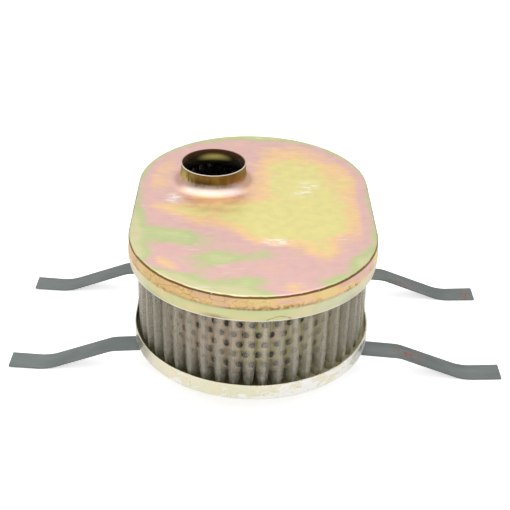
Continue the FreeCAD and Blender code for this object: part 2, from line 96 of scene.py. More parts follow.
class CasingSizes(bpy.types.PropertyGroup):
    """Sizes of the pressed cap and pan."""

    radius: length("Cap radius", "Outside radius of the cap's round ends", 60.0 * MM)
    half_straight: length("Half straight", "Half the length of the straight sides", 26.9 * MM)
    plate: length("Plate", "Thickness of the pressed sheet", 0.8 * MM)
    edge_round: length("Edge round", "Radius where a flat turns down into a wall", 1.1 * MM)
    top: length("Cap top", "Height of the cap's flat top", CORE_BOX[1].z + 0.8 * MM)
    upper_band: length("Upper band", "Height of the band above the step", 6.0 * MM)
    step: length("Step", "Height of the step between the two bands", 1.3 * MM)
    step_round: length("Step round", "Radius above and below the step", 3.0 * MM)
    swell: length("Swell", "How far the lower band stands out", 0.4 * MM)
    turn_in: length("Turned edge", "How far the cap's lower edge turns in", 0.6 * MM)
    turn_height: length("Turned height", "Height over which the lower edge turns in", 3.0 * MM)
    turn_round: length("Turned round", "Radius where the lower edge starts to turn in", 10.0 * MM)
    neck_x: length("Neck across", "Where the neck's axis is, across the oval", -21.0 * MM, -1.0)
    neck_radius: length("Neck radius", "Outside radius of the neck at its lip", 17.0 * MM)
    neck_land: length("Neck land", "Height of the straight part under the lip", 4.0 * MM)
    neck_flare: angle("Neck flare", "How much the neck widens downwards", 8.0)
    neck_bend: length("Neck bend", "Radius where the straight part starts to widen", 8.0 * MM)
    neck_fillet: length("Neck fillet", "Radius where the neck leaves the flat top", 6.0 * MM)
    pan_radius: length("Pan radius", "Outside radius of the pan's round ends",
                       PAN_BOX[1].x - 0.5 * MM)
    worn_edge: length("Worn edge", "Width of the wear on the sheet's cut edges", 0.16 * MM)


class StrainerSizes(bpy.types.PropertyGroup):
    """Sizes of the pleated cloth, the core and the resin."""

    pleats: IntProperty(name="Pleats", description="Number of folds round the oval", default=66, min=3)
    pleat_line: length("Pleat line", "End radius of the oval on which the folds are evenly spaced",
                       55.65 * MM)
    tip_radius: length("Tip radius", "Outside radius of the folds at the round ends", 56.5 * MM)
    root_radius: length("Root radius", "Radius on which the folds rest at the round ends", 45.2 * MM)
    tip_gap: length("Tip gap", "Width of the gap between two folds at their tips", 1.1 * MM)
    root_gap: length("Root gap", "Width of the gap between two folds at their roots", 1.2 * MM)
    root_round: length("Root round", "How far the inner bends reach from their corners", 0.5 * MM)
    crown: length("Crown", "Height of a fold's round crown", 1.6 * MM)
    gather: length("Gather", "How far the folds on an end's shoulders are drawn aside", 5.0 * MM)
    soak: length("Soak", "How deep the cloth stands in the resin", 1.5 * MM)
    core_radius: length("Core radius", "Outside radius of the core's round ends", CORE_BOX[1].x)
    core_plate: length("Core plate", "Thickness of the perforated sheet", 0.8 * MM)
    hole_radius: length("Hole radius", "Radius of the punched holes", 1.7 * MM)
    hole_columns: IntProperty(name="Hole columns", description="Punched holes in a row", default=66,
                              min=8)
    hole_rows: IntProperty(name="Hole rows", description="Rows of punched holes", default=8, min=1)
    row_pitch: length("Row pitch", "Height between two rows of holes", 5.55 * MM)
    first_row: length("First row", "Height of the lowest row above the pan's underside", 10.1 * MM)


class LegSizes(bpy.types.PropertyGroup):
    """Sizes of the leaf springs and their rivets."""

    width: length("Strip width", "Width of a strip", 11.6 * MM)
    plate: length("Strip plate", "Thickness of a strip", 1.0 * MM)
    place_y: length("Strip place", "How far a strip's middle is from the middle of the pan", 37.1 * MM)
    offset: length("Strip offset", "How far a strip's middle is set to the right", 2.5 * MM)
    skew: angle("Strip skew", "How far a strip is turned clockwise", 0.78)
    flat: length("Flat", "How far the flat under the pan reaches each way", 20.0 * MM)
    spring_bend: length("Spring bend", "Radius where a strip leaves the flat", 60.0 * MM)
    knee_x: length("Knee place", "How far out the knee is", 72.0 * MM)
    knee_drop: length("Knee drop", "How far the knee is below the flat", 3.9 * MM)
    knee_bend: length("Knee bend", "Radius of the knee", 14.0 * MM)
    foot_x: length("Foot place", "How far out a strip stands", 108.1 * MM)
    foot_bend: length("Foot bend", "Radius of the foot", 22.0 * MM)
    toe_x: length("Toe place", "How far out a strip ends", 124.3 * MM)
    toe_lift: length("Toe lift", "How high the toe's end is off the ground", 0.9 * MM)
    worn_edge: length("Worn edge", "Width of the wear on a strip's edges", 0.18 * MM)
    rivet_spacing: length("Rivet spacing", "Distance between a strip's two rivets", 28.0 * MM)
    rivet_radius: length("Rivet radius", "Radius of a rivet's shank", 2.5 * MM)
    head_radius: length("Head radius", "Radius of a rivet's head", 4.5 * MM)
    head_height: length("Head height", "Height of a rivet's head", 1.8 * MM)
    crown_round: length("Crown round", "Radius where a head's crown meets its flat", 4.0 * MM)
    rim_round: length("Rim round", "Radius at a head's rim", 1.0 * MM)


class FinishColours(bpy.types.PropertyGroup):
    """Colours of the finishes."""

    film_yellow: colour("Thin film", "Passivation where it is thinnest", "e7dd96")
    film_orange: colour("Straw film", "Passivation a little thicker", "f3cd9c")
    film_pink: colour("Rose film", "Passivation of middle thickness", "e3bcb5")
    film_green: colour("Green film", "Passivation where it is thick", "c2cf93")
    film_pale: colour("Pale film", "Passivation where it is thickest", "d8d3a6")
    band_yellow: colour("Band yellow", "Passivation on the cap's lower band", "ddcf9e")
    band_green: colour("Band green", "Thicker passivation on the cap's lower band", "cbd09c")
    band_rose: colour("Band rose", "The lower band at its left end", "ead9cc")
    band_grey: colour("Band grey", "The lower band on its right", "dad6c0")
    band_tan: colour("Band tan", "The upper band where its film is browner", "d0ad72")
    # Partly film and partly painted dark reflection on the neck's outer wall
    neck_film_and_reflection: colour("Brown film", "Passivation on the drawn neck", "816338")
    film_olive: colour("Olive film", "Passivation low on the drawn neck", "947d46")
    drip_green: colour("Green drip", "Dried drip at the left of the neck", "b4c070")
    burnt_olive: colour("Burnt olive", "Thick film at the front of the neck", "453a18")
    copper: colour("Coppery film", "Film at the right of the neck", "b5765a")
    # The painted highlight on the neck's fillet: rose at its back and palest at its front
    fillet_back_rose: colour("Drawn rose", "Film rubbed thin on the fillet", "c79c84")
    fillet_highlight_pale: colour("Drawn pale", "The fillet's front, rubbed palest", "f4e6e2")
    neck_orange: colour("Inner orange", "Inside of the neck at its lip, in the light", "d09a58")
    neck_yellow: colour("Inner yellow", "Inside of the neck below the lip, in the light", "fff08a")
    # Painted shade inside the neck: the shaded copies of the inner orange and yellow
    neck_shaded_brown: colour("Inner brown", "Inside of the neck at its lip", "5e3f22")
    neck_shaded_dark: colour("Inner dark", "Inside of the neck below the lip", "33291a")
    bare_zinc: colour("Bare zinc", "Zinc where the film is rubbed off", "f4f3ee")
    tide_brown: colour("Tide mark", "Dried edge of a drip of passivation", "a07844")
    # Colour of a painted dark reflection: the brown line under the top's round edge
    round_dark_reflection: colour("Burnt film", "Brown film where the top's round meets the band", "7a5426")
    pan_cream: colour("Pan cream", "Thin film all over the pan", "fff6ee")
    wire: colour("Stainless wire", "Woven stainless wire", "e6e1d4")
    wire_shade: colour("Stained wire", "Woven wire with a thin stain of oil", "d0c8b6")
    # Painted shade in the cloth between the folds, on bare and on resin-soaked cloth
    fold_shade_wire: colour("Oil dirt", "Stainless wire under dried oil between the folds", "c8c2b0")
    wick: colour("Wicked resin", "Cloth soaked with resin at its ends", "c6c2ae")
    fold_shade_wick: colour("Dirty resin", "Soaked cloth between the folds", "8a8870")
    core: colour("Core rose", "Rose film on the perforated core", "dcc0a6")
    core_olive: colour("Core olive", "Olive film on the perforated core", "cfc68e")
    soot_and_shade: colour("Oil soot", "Dried oil on the inside of the core", "3a352b")
    # Dried oil darkened further as painted shade: the core's inside and the depth of the neck
    resin: colour("Casting resin", "Cast polyurethane resin", "cfc79f")
    resin_shade: colour("Aged resin", "Resin that has drawn in oil", "a89f74")
    # Old oil, which also stands for painted shade on the left of the resin and of the pan's inside
    oil: colour("Old oil", "Dirty oil on the resin and on the pan's inside", "4f4830")
    phosphate: colour("Phosphated steel", "Spring steel under a grey phosphate skin", "7f8583")
    phosphate_dark: colour("Thick phosphate", "The skin where it is thicker", "6f7674")
    rust: colour("Rust", "Rust where the phosphate is worn", "94533a")
    rivet: colour("Dull rivet", "Zinc on the rivets where it has dulled", "c9c6bb")
    pole: colour("Dull pole plate", "Zinc on the pole plates where it has dulled", "b9b6aa")
    clip: colour("Seam clip", "Folded stainless clip where it is stained", "d2ccc0")
    ferrite: colour("Ferrite", "Sintered magnet", "3b3a3c")
    ferrite_dark: colour("Dark ferrite", "Sintered magnet where it is denser", "2b2a2d")


class StudioSettings(bpy.types.PropertyGroup):
    """The floor, the light and the camera."""

    paper: colour("Paper", "The floor", "e9e9e9")
    dark_room: colour("Dark room", "What the metal mirrors from behind the camera", "3a332b")
    floor_width: length("Floor width", "Width of the floor", 6.0)
    lamp_width: length("Lamp width", "Width of the lamp above", 3.2)
    lamp_depth: length("Lamp depth", "Depth of the lamp above", 2.8)
    overhead: FloatProperty(name="Overhead light", description="Power of the lamp above, in watts",
                            default=25.0, min=0)
    room: FloatProperty(name="Room light", description="Strength of the light from all round",
                        default=0.8, min=0)
    lens: FloatProperty(name="Lens", description="Focal length in millimetres on a 36 mm picture",
                        default=72.23, min=1)


# Modelling helpers

def corner_run(bm, corners, rounds=(), segments=6, y=0.0):
    """Join (x, z) corners by straight edges and round some of them. A round is (corner, radius)."""
    points = [Vector((x, y, z)) for x, z in corners]
    verts = [bm.verts.new(point) for point in points]
    for pair in zip(verts, verts[1:]):
        bm.edges.new(pair)
    for corner, radius in rounds:
        before, here, after = points[corner - 1:corner + 2]
        turn = (here - before).angle(after - here)
        bmesh.ops.bevel(bm, geom=[verts[corner]], affect="VERTICES", segments=segments, profile=0.5,
                        material=-1, offset=radius * math.tan(turn / 2))
    return bm.verts[:], bm.edges[:]


def spin_round(bm, corners, rounds, segments, steps):
    """Turn a run of corners once round the upright axis."""
    verts, edges = corner_run(bm, corners, rounds, segments)
    bmesh.ops.spin(bm, geom=verts + edges, cent=(0, 0, 0), axis=(0, 0, 1), angle=2 * math.pi,
                   steps=steps, use_merge=True)


def move(bm, verts, x=0.0, y=0.0, z=0.0):
    """Shift vertices."""
    bmesh.ops.translate(bm, verts=verts, vec=(x, y, z))


def only(result, kind):
    """The elements of one kind in an operator's result."""
    return [item for item in result["geom"] if isinstance(item, kind)]


def copy_verts(bm, geometry):
    """Copy some geometry and return the new vertices."""
    return only(bmesh.ops.duplicate(bm, geom=geometry), bmesh.types.BMVert)


def all_of(bm):
    """Everything in a bmesh."""
    return bm.verts[:] + bm.edges[:] + bm.faces[:]


def add_turned_copy(bm):
    """Add the same again, turned half round about the middle, and join the two where they meet."""
    bmesh.ops.rotate(bm, verts=copy_verts(bm, all_of(bm)), cent=(0, 0, 0),
                     matrix=Matrix.Rotation(math.pi, 3, "Z"))
    bmesh.ops.remove_doubles(bm, verts=bm.verts, dist=MERGE)


def extrude(bm, edges, x=0.0, y=0.0, z=0.0):
    """Draw edges out into faces, and return the new edges."""
    new = bmesh.ops.extrude_edge_only(bm, edges=edges)
    move(bm, only(new, bmesh.types.BMVert), x, y, z)
    return only(new, bmesh.types.BMEdge)


def sweep_oval(bm, half_straight, corners, rounds=(), end_steps=48, side_steps=10):
    """Sweep a run of corners round the oval: round the back end, along the right side, and the same
    again turned about the middle."""
    verts, edges = corner_run(bm, corners, rounds, y=half_straight)
    bmesh.ops.spin(bm, geom=verts + edges, cent=(0, half_straight, 0), axis=(0, 0, 1),
                   angle=math.pi, steps=end_steps)
    for _ in range(side_steps):
        edges = extrude(bm, edges, y=-2 * half_straight / side_steps)
    add_turned_copy(bm)


def open_edges(bm, height):
    """The edges with one face that lie at a height."""
    return [edge for edge in bm.edges if len(edge.link_faces) == 1
            and all(abs(vert.co.z - height) < MERGE for vert in edge.verts)]


def wrap(bm, half_straight, radius):
    """Bend a flat sheet round the oval: x runs along it anticlockwise from the middle of the front,
    and y stands out from the line of the given end radius."""
    straight, turn = 2 * half_straight, math.pi * radius
    for vert in bm.verts:
        far, along = divmod(vert.co.x + turn / 2, straight + turn)
        out = radius + vert.co.y
        if along <= turn:
            bend = along / radius - math.pi
            place = Vector((math.cos(bend) * out, math.sin(bend) * out - half_straight, vert.co.z))
        else:
            place = Vector((out, along - turn - half_straight, vert.co.z))
        if far % 2:
            place.x, place.y = -place.x, -place.y
        vert.co = place


def give_wall(bm, thickness):
    """Give an outer skin its wall, inwards, with its faces pointing outwards."""
    bmesh.ops.recalc_face_normals(bm, faces=bm.faces)
    bmesh.ops.solidify(bm, geom=bm.faces[:], thickness=thickness)


def finish_piece(bm, name, nodes, material, edge_bevel=0.0, crease=35.0):
    """Turn a bmesh into a named piece that stands for CAD nodes and rides with the body."""
    mesh = bpy.data.meshes.new(name)
    bm.to_mesh(mesh)
    bm.free()
    mesh.shade_smooth()
    piece = bpy.data.objects.new(name, mesh)
    bpy.context.collection.objects.link(piece)
    mesh.materials.append(material)
    if edge_bevel:
        bevel = piece.modifiers.new("Worn edges", "BEVEL")
        bevel.width = edge_bevel
        bevel.segments = 2
        bevel.limit_method = "ANGLE"
        bevel.angle_limit = math.radians(crease)
        piece.modifiers.new("Even shading", "WEIGHTED_NORMAL").keep_sharp = True
    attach(piece, "root")
    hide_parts(*nodes)
    return piece


# Finishes

# What a node does here: its kind, its settings, its inputs in the order in which they are given, and
# the output that is used
NODES = {
    "plus": ("Math", {"operation": "ADD"}, (0, 1), 0),
    "minus": ("Math", {"operation": "SUBTRACT"}, (0, 1), 0),
    "times": ("Math", {"operation": "MULTIPLY"}, (0, 1), 0),
    "larger": ("Math", {"operation": "MAXIMUM"}, (0, 1), 0),
    "unsigned": ("Math", {"operation": "ABSOLUTE"}, (0,), 0),
    "limit": ("Clamp", {}, (0,), 0),
    # A value, the two ends that it runs between, and what they become: 0 and 1 if nothing is said
    "range": ("MapRange", {}, (0, 1, 2, 3, 4), 0),
    "step": ("MapRange", {"interpolation_type": "SMOOTHSTEP"}, (0, 1, 2, 3, 4), 0),
    # How much of the second, the first and the second
    "blend": ("Mix", {"data_type": "FLOAT"}, (0, 2, 3), 0),
    "mix": ("Mix", {"data_type": "RGBA"}, (0, 6, 7), 2),
    "ramp": ("ValToRGB", {}, (0,), 0),
    "parts": ("SeparateXYZ", {}, (0,), 0),
    "point": ("CombineXYZ", {}, (0, 1, 2), 0),
    "scaled": ("VectorMath", {"operation": "MULTIPLY"}, (0, 1), 0),
    "swayed": ("VectorMath", {"operation": "MULTIPLY_ADD"}, (0, 1, 2), 0),
    "moved": ("VectorMath", {"operation": "SUBTRACT"}, (0, 1), 0),
    "length": ("VectorMath", {"operation": "LENGTH"}, (0,), "Value"),
    "distance": ("VectorMath", {"operation": "DISTANCE"}, (0, 1), "Value"),
    # A place, then a location, a turn and a scale
    "pattern": ("Mapping", {}, (0, 1, 2, 3), 0),
    "oval": ("Mapping", {"vector_type": "TEXTURE"}, (0, 1, 2, 3), 0),
    "noise": ("TexNoise", {}, ("Vector", "Scale", "Detail", "Roughness"), 0),
    "cells": ("TexVoronoi", {"feature": "F1"}, ("Vector", "Scale", "Randomness"), "Distance"),
    "relief": ("Bump", {}, ("Height", "Distance", "Strength", "Normal"), 0),
    "coordinates": ("TexCoord", {}, (), "Object"),
    "attribute": ("Attribute", {}, (), "Fac"),
    "rays": ("LightPath", {}, (), "Is Glossy Ray"),
}


def plug(tree, socket, value):
    """Link an output to a socket, or set the socket to a plain value or a colour."""
    if isinstance(value, bpy.types.NodeSocket):
        tree.links.new(value, socket)
    elif value is not None:
        socket.default_value = (*value, 1.0) if isinstance(value, Color) else value


def add_node(tree, what, *inputs, stops=(), **settings):
    """Add a shader node that does one of the things above, and return its output. An input is a
    plain value, a colour or another node's output. Stops are a ramp's (place, colour) pairs."""
    kind, fixed, sockets, output = NODES[what]
    node = tree.nodes.new("ShaderNode" + kind)
    for name, value in {**fixed, **settings}.items():
        setattr(node, name, value)
    for socket, value in zip(sockets, inputs):
        plug(tree, node.inputs[socket], value)
    for i, (place, value) in enumerate(stops):
        points = node.color_ramp.elements
        point = points[i] if i < len(points) else points.new(place)
        point.position = place
        point.color = (*value, 1.0)
    return node.outputs[output]


class Finish:
    """A material under construction, with a place on the piece in millimetres. A grain is noise, and
    is given by its width in millimetres and its detail."""

    def __init__(self, name):
        self.material = bpy.data.materials.new(name)
        self.material.use_nodes = True
        self.tree = self.material.node_tree
        self.place = self.add("scaled", self.add("coordinates"), (1000, 1000, 1000))
        self.x, self.y, self.z = self.add("parts", self.place).node.outputs

    def add(self, what, *inputs, **settings):
        """Add a node to this material."""
        return add_node(self.tree, what, *inputs, **settings)

    def join(self, what, first, *others):
        """Add up or multiply any number of values."""
        for other in others:
            first = self.add(what, first, other)
        return first

    def grain(self, width, detail=2.0, stretch=(1, 1, 1), turn=0.0, rough=0.5, shift=0.0):
        """Noise whose grains are longer along the stretched ways."""
        way = self.add("pattern", self.place, (shift, shift, shift), (0, 0, turn),
                       tuple(1 / (width * s) for s in stretch))
        return self.add("noise", way, 1.0, detail, rough)

    def mottle(self, width, detail, low=0.3, high=0.7, start=0.0, end=1.0, **more):
        """A grain with more contrast: start where the noise is low and end where it is high."""
        return self.add("step", self.grain(width, detail, **more), low, high, start, end)

    def ragged(self, value, amount, width, detail=2.0, **more):
        """A value that a grain makes uneven."""
        return self.add("plus", self.add("times", self.grain(width, detail, **more), amount), value)

    def band(self, value, start, full, fading, end):
        """1 from full to fading, and 0 before start and after the end."""
        return self.add("times", self.add("step", value, start, full),
                        self.add("step", value, end, fading))

    def patch(self, centre, reach, turn=0.0, edge=0.1, amount=1.0, place=None):
        """A soft oval patch: an amount in its middle and 0 outside its reach."""
        way = self.add("oval", place or self.place, centre, (0, 0, math.radians(turn)), reach)
        return self.add("step", self.add("length", way), edge, 1.0, amount, 0.0)

    def coat(self, tint, *coats):
        """Lay colours over a tint, each with how much it covers."""
        for share, cover in coats:
            tint = self.add("mix", share, tint, cover)
        return tint

    def from_middle_line(self, half_straight):
        """How far a place is from the oval's middle line."""
        beyond = self.add("minus", self.add("unsigned", self.y), half_straight)
        return self.add("length", self.add("point", self.x, self.add("larger", beyond, 0.0)))

    def done(self, **inputs):
        """Give the shader its inputs and return the material."""
        for name, value in inputs.items():
            plug(self.tree, self.tree.nodes["Principled BSDF"].inputs[name.replace("_", " ")], value)
        return self.material


def film_stops(colours):
    """The colours of a passivation film from thin to thick."""
    return [(0.06, colours.film_yellow), (0.26, colours.film_orange), (0.45, colours.film_pink),
            (0.58, colours.film_pink), (0.80, colours.film_green), (1.0, colours.film_pale)]


# Where the cap's film is thinner or thicker on the flat top: the middle across and along, the reach
# across and along, the turn in degrees, and the change in the film
STAINS = [
    (27, 18, 42, 72, 4, -0.62), (22, -22, 44, 32, 6, -0.50), (-6, -12, 42, 26, -28, -0.50),
    (-38, -6, 22, 13, -10, -0.36), (-49, 38, 15, 32, -15, -0.26), (36, -47, 30, 13, 8, -0.24),
    (-42, -61, 18, 8, -12, -0.46), (18, -80, 24, 9, 2, -0.50), (-58, -38, 18, 46, 4, 0.36),
    (-38, -33, 30, 13, -14, 0.32), (-14, -55, 46, 12, 13, 0.36), (-28, -77, 46, 20, -20, 0.36),
    (2, -79, 30, 14, 3, 0.32), (51, -56, 14, 34, 28, 0.32), (10, 84, 60, 12, 0, 0.24),
]
# Noise drawn out along the bands of the sheet
ALONG_BAND = (2.2, 2.2, 0.8)


class CapFinish(Finish):
    """Zinc plate with a yellow chromate film on pressed steel. The film's thickness colours it:
    straw, rose and green drift into each other, rubbed spots are pale, and drips leave brown lines
    on the band."""

    def __init__(self, colours, casing):
        super().__init__("yellow_passivated_zinc_cap")
        self.colours = colours
        self.straight, self.top = casing.half_straight / MM, casing.top / MM
        self.low, self.lip = CAP_BOX[0].z / MM, CAP_BOX[1].z / MM
        self.step = self.top - (casing.upper_band + casing.step / 2) / MM
        self.fillet, self.plate = casing.neck_fillet / MM, casing.plate / MM
        self.neck_x, self.neck_radius = casing.neck_x / MM, casing.neck_radius / MM
        self.is_upper = self.add("step", self.z, self.step - 0.4, self.step + 0.4)
        # Patches drift aside by up to this much, so that none has a plain outline
        sway = 7
        wander = self.grain(20, 3).node.outputs["Color"]
        wander = self.add("swayed", wander, (2 * sway, 2 * sway, 0), self.place)
        self.drift = self.add("moved", wander, (sway, sway, 0))
        self.from_axis = self.add("distance", self.add("point", self.x, self.y),
                                  (self.neck_x, self.straight, 0))

    def sheet(self):
        """The film on the flat and on the bands: straw and rose above the step, pale green and
        yellow below it."""
        add, inks = self.add, self.colours
        flat = 0.5
        for x, y, wide, long, turn, change in STAINS:
            stain = self.patch((x, y, self.top), (wide, long, 99), turn, 0.0, place=self.drift)
            flat = add("plus", add("times", stain, change), flat)
        streak = self.mottle(1.1, 3, start=-0.05, end=0.05, stretch=(7, 1, 1), turn=0.5)
        cloud = self.mottle(26, 5, start=-0.10, end=0.10, rough=0.55, shift=3.0)
        edge = add("step", self.from_middle_line(self.straight), 51, 59, 0.0, 0.28)
        flat = self.join("plus", flat, cloud, streak, edge)
        upper = self.mottle(9, 3, 0.35, 0.68, 0.12, 0.52, stretch=ALONG_BAND, shift=7.0)
        is_flat = add("step", self.z, self.top - 1.0, self.top - 0.7)
        film = add("blend", is_flat, add("plus", upper, streak), flat)
        green = self.mottle(10, 4, 0.36, 0.60, stretch=ALONG_BAND, shift=13.0)
        lower = self.coat(inks.band_yellow, (green, inks.band_green),
                          (add("step", self.x, -42, -60, 0.0, 0.7), inks.band_rose),
                          (add("step", self.x, 5, 45, 0.0, 0.6), inks.band_grey))
        return add("mix", self.is_upper, lower, add("ramp", film, stops=film_stops(inks)))

    def neck_outside(self):
        """The drawn neck's outside: brown and olive, with a green drip at its left. The brown is partly
        film and partly painted dark reflection.
        """
        inks, x, y, top = self.colours, self.neck_x, self.straight, self.top
        drip = self.patch((-37, 17, top + 5), (8, 10, 7), 0, 0.2, place=self.drift)
        drip = self.add("times", drip, self.mottle(2, 3, 0.35, 0.55, stretch=(1, 1, 3)))
        return self.coat(
            inks.neck_film_and_reflection, (self.mottle(4, 4, 0.35, 0.65, stretch=(1, 1, 2)), inks.film_olive),
            (drip, inks.drip_green),
            (self.patch((x - 5, y - 16, top + 5), (11, 9, 4.5), amount=0.75), inks.burnt_olive),
            (self.patch((x + 12, y - 12, top + 4), (10, 10, 5), amount=0.8), inks.copper))

    def neck_inside(self):
        """The neck's inside, with light and shade painted in: painted shade in brown, a painted gleam
        in orange and yellow where light falls in, and painted black further down.
        """
        add, inks, lip = self.add, self.colours, self.lip
        is_low = add("step", self.z, lip - 1.5, lip - 4.0)
        # A painted gleam at the back of the neck's inside
        painted_gleam = self.patch((self.neck_x, self.straight + 15, lip - 4.5), (11, 9, 3.2))
        return self.coat(
            add("mix", is_low, inks.neck_shaded_brown, inks.neck_shaded_dark),
            (painted_gleam, add("mix", is_low, inks.neck_orange, inks.neck_yellow)),
            (add("step", self.z, lip - 5.5, lip - 8), inks.soot_and_shade))

    def is_inside(self):
        """1 on the sheet's inner face in the neck. The fillet's inner face lies further from the
        middle of its bend than its outer face does."""
        add, fillet, plate = self.add, self.fillet, self.plate
        bend_height, bend_radius = self.top + fillet, self.neck_radius + fillet
        from_bend = add("distance", add("point", self.from_axis, self.z),
                        (bend_radius, bend_height, 0))
        past_skin = add("step", from_bend, fillet + 0.4 * plate, fillet + 0.6 * plate)
        in_bend = add("times", add("step", self.z, bend_height + 0.2, bend_height),
                      add("step", self.from_axis, bend_radius + 1.2, bend_radius + 0.8))
        in_bore = add("times", add("step", self.from_axis, self.neck_radius - 0.3 * plate,
                                   self.neck_radius - 0.6 * plate),
                      add("step", self.z, bend_height - 0.2, bend_height))
        return add("limit", add("plus", add("times", past_skin, in_bend), in_bore))

    def with_neck(self, tint, inside):
        """The brown fades into the flat's film over the fillet, which carries a painted highlight,
        palest at the front and rose at the back, and the lip is rubbed bare."""
        add, inks, y, lip = self.add, self.colours, self.straight, self.lip
        fading = self.ragged(self.z, 3.0, 4, 3, shift=6.0)
        is_neck = add("step", fading, self.top + 4.6, self.top + 7.4)
        # A painted highlight over the fillet: pale in front, rose at the back
        pale = self.join("times", add("step", self.z, self.top + 0.1, self.top + 1.5),
                         add("step", self.from_axis, 26, 22), 0.6)
        in_front = add("step", self.y, y - 8, y - 17)
        lip_edge = self.neck_radius - 0.45
        rubbed = self.join("times", add("step", self.z, lip - 0.25, lip - 0.1),
                           add("step", self.from_axis, lip_edge - 0.15, lip_edge + 0.15),
                           add("step", self.y, y + 12, y - 8, 0.1, 0.8))
        return self.coat(tint, (pale, add("mix", in_front, inks.fillet_back_rose, inks.fillet_highlight_pale)),
                         (is_neck, self.neck_outside()), (inside, self.neck_inside()),
                         (rubbed, inks.bare_zinc))

    def tide_lines(self, below_top):
        """The outlines of dried drips on the left of the upper band. Lower down they run in steps."""
        add = self.add
        level = add("unsigned", add("minus", self.grain(6, 2, (1.6, 1.6, 1), shift=2.0), 0.56))
        line = add("step", level, 0.002, 0.008, 1.0, 0.0)
        cell = add("pattern", self.drift, (0.3, 0, 0.15), (0, 0, 0), (1 / 8, 1 / 11, 1 / 4))
        nearest, second = (add("cells", cell, 1.0, distance="CHEBYCHEV", feature=order)
                           for order in ("F1", "F2"))
        steps = self.join("times", add("step", add("minus", second, nearest), 0.03, 0.09, 1.0, 0.0),
                          add("step", self.x, 5, -15), self.mottle(7, 2, 0.36, 0.52, shift=4.0))
        return self.join("times", add("larger", line, steps), add("step", self.x, 34, -10), below_top,
                         self.is_upper, 0.75)

    def with_marks(self, tint):
        """Tide lines, a painted dark reflection in brown where the top's round meets the band, dirt in
        the step, a browner film towards the left, a drip's outline and a smudge at the front, and a
        rubbed edge."""
        add, inks, top, low, step = self.add, self.colours, self.top, self.low, self.step
        below_top = add("step", self.z, top - 1.0, top - 1.6)
        # A painted dark reflection: a brown line just under the top's round, where the round mirrors
        # the dark room
        painted_reflection_line = self.band(self.ragged(self.z, 0.8, 7), top - 1.1, top - 0.7, top, top + 0.3)
        painted_reflection_line = self.join("times", painted_reflection_line, add("step", self.z, top - 0.05, top - 0.2), 0.9)
        dirt = self.join("times", self.mottle(1.1, 3, 0.42, 0.62, stretch=(1.5, 1.5, 1)),
                         self.mottle(16, 2, 0.42, 0.60, shift=17.0),
                         self.band(self.z, step - 0.7, step + 0.2, step + 0.4, step + 2.6))
        tan = self.join("times", add("step", self.x, 30, -50, 0.25, 0.65), self.is_upper, below_top)
        ring = add("length", add("oval", self.place, (11.5, -85.5, low), (0, 0, 0), (5.5, 9, 2.6)))
        drip = self.band(self.ragged(ring, 0.5, 1.5, shift=21.0), 1.12, 1.22, 1.24, 1.34)
        return self.coat(
            tint, (self.tide_lines(below_top), inks.tide_brown), (painted_reflection_line, inks.round_dark_reflection),
            (dirt, inks.tide_brown), (tan, inks.band_tan), (add("times", drip, 0.8), inks.tide_brown),
            (self.patch((-17, -84, low + 1), (9, 9, 2.2), amount=0.6), inks.tide_brown),
            (add("step", self.z, low + 0.6, low + 0.35), inks.bare_zinc))

    def scuffs(self):
        """Rubbed spots and scratches on the flat, down to the pale zinc."""
        rubbed = self.join("plus", self.patch((27, 19, 74), (9, 15, 9), -25),
                           self.patch((10.7, -38, 74), (11, 6, 9), 10),
                           self.patch((-40, 5, 74), (7, 9, 9)))
        sharp = self.mottle(1.5, 4, 0.50, 0.60, stretch=(3.5, 1, 1), turn=-0.9, rough=0.6)
        hazy = self.mottle(3, 4, 0.40, 0.70, 0.0, 0.5, stretch=(2.5, 1, 1), turn=-0.9, rough=0.6)
        scratch = self.mottle(0.5, 1, 0.66, 0.72, stretch=(30, 1, 1), turn=0.5)
        few = self.mottle(14, 1, 0.56, 0.64, shift=11.0)
        both = self.join("plus", self.add("times", sharp, rubbed), self.add("times", hazy, rubbed),
                         self.add("times", scratch, few))
        return self.add("limit", self.add("times", both, 0.7))

    def made(self):
        """The whole material. The inside of the neck is dull, so it takes light from above."""
        add, inside, scuffs = self.add, self.is_inside(), self.scuffs()
        tint = self.with_marks(self.with_neck(self.sheet(), inside))
        smooth = self.mottle(5, 4, start=0.38, end=0.50)
        waves = add("relief", self.grain(14, 1, (1.4, 1, 1)), 0.10 * MM, 0.5)
        return self.done(
            Base_Color=self.coat(tint, (scuffs, self.colours.bare_zinc)),
            Metallic=add("step", inside, 0.0, 1.0, 1.0, 0.3),
            Roughness=add("plus", smooth, add("times", scuffs, 0.2)),
            Normal=add("relief", self.grain(0.9, 2, (3, 1, 1)), 0.004 * MM, 0.5, waves))


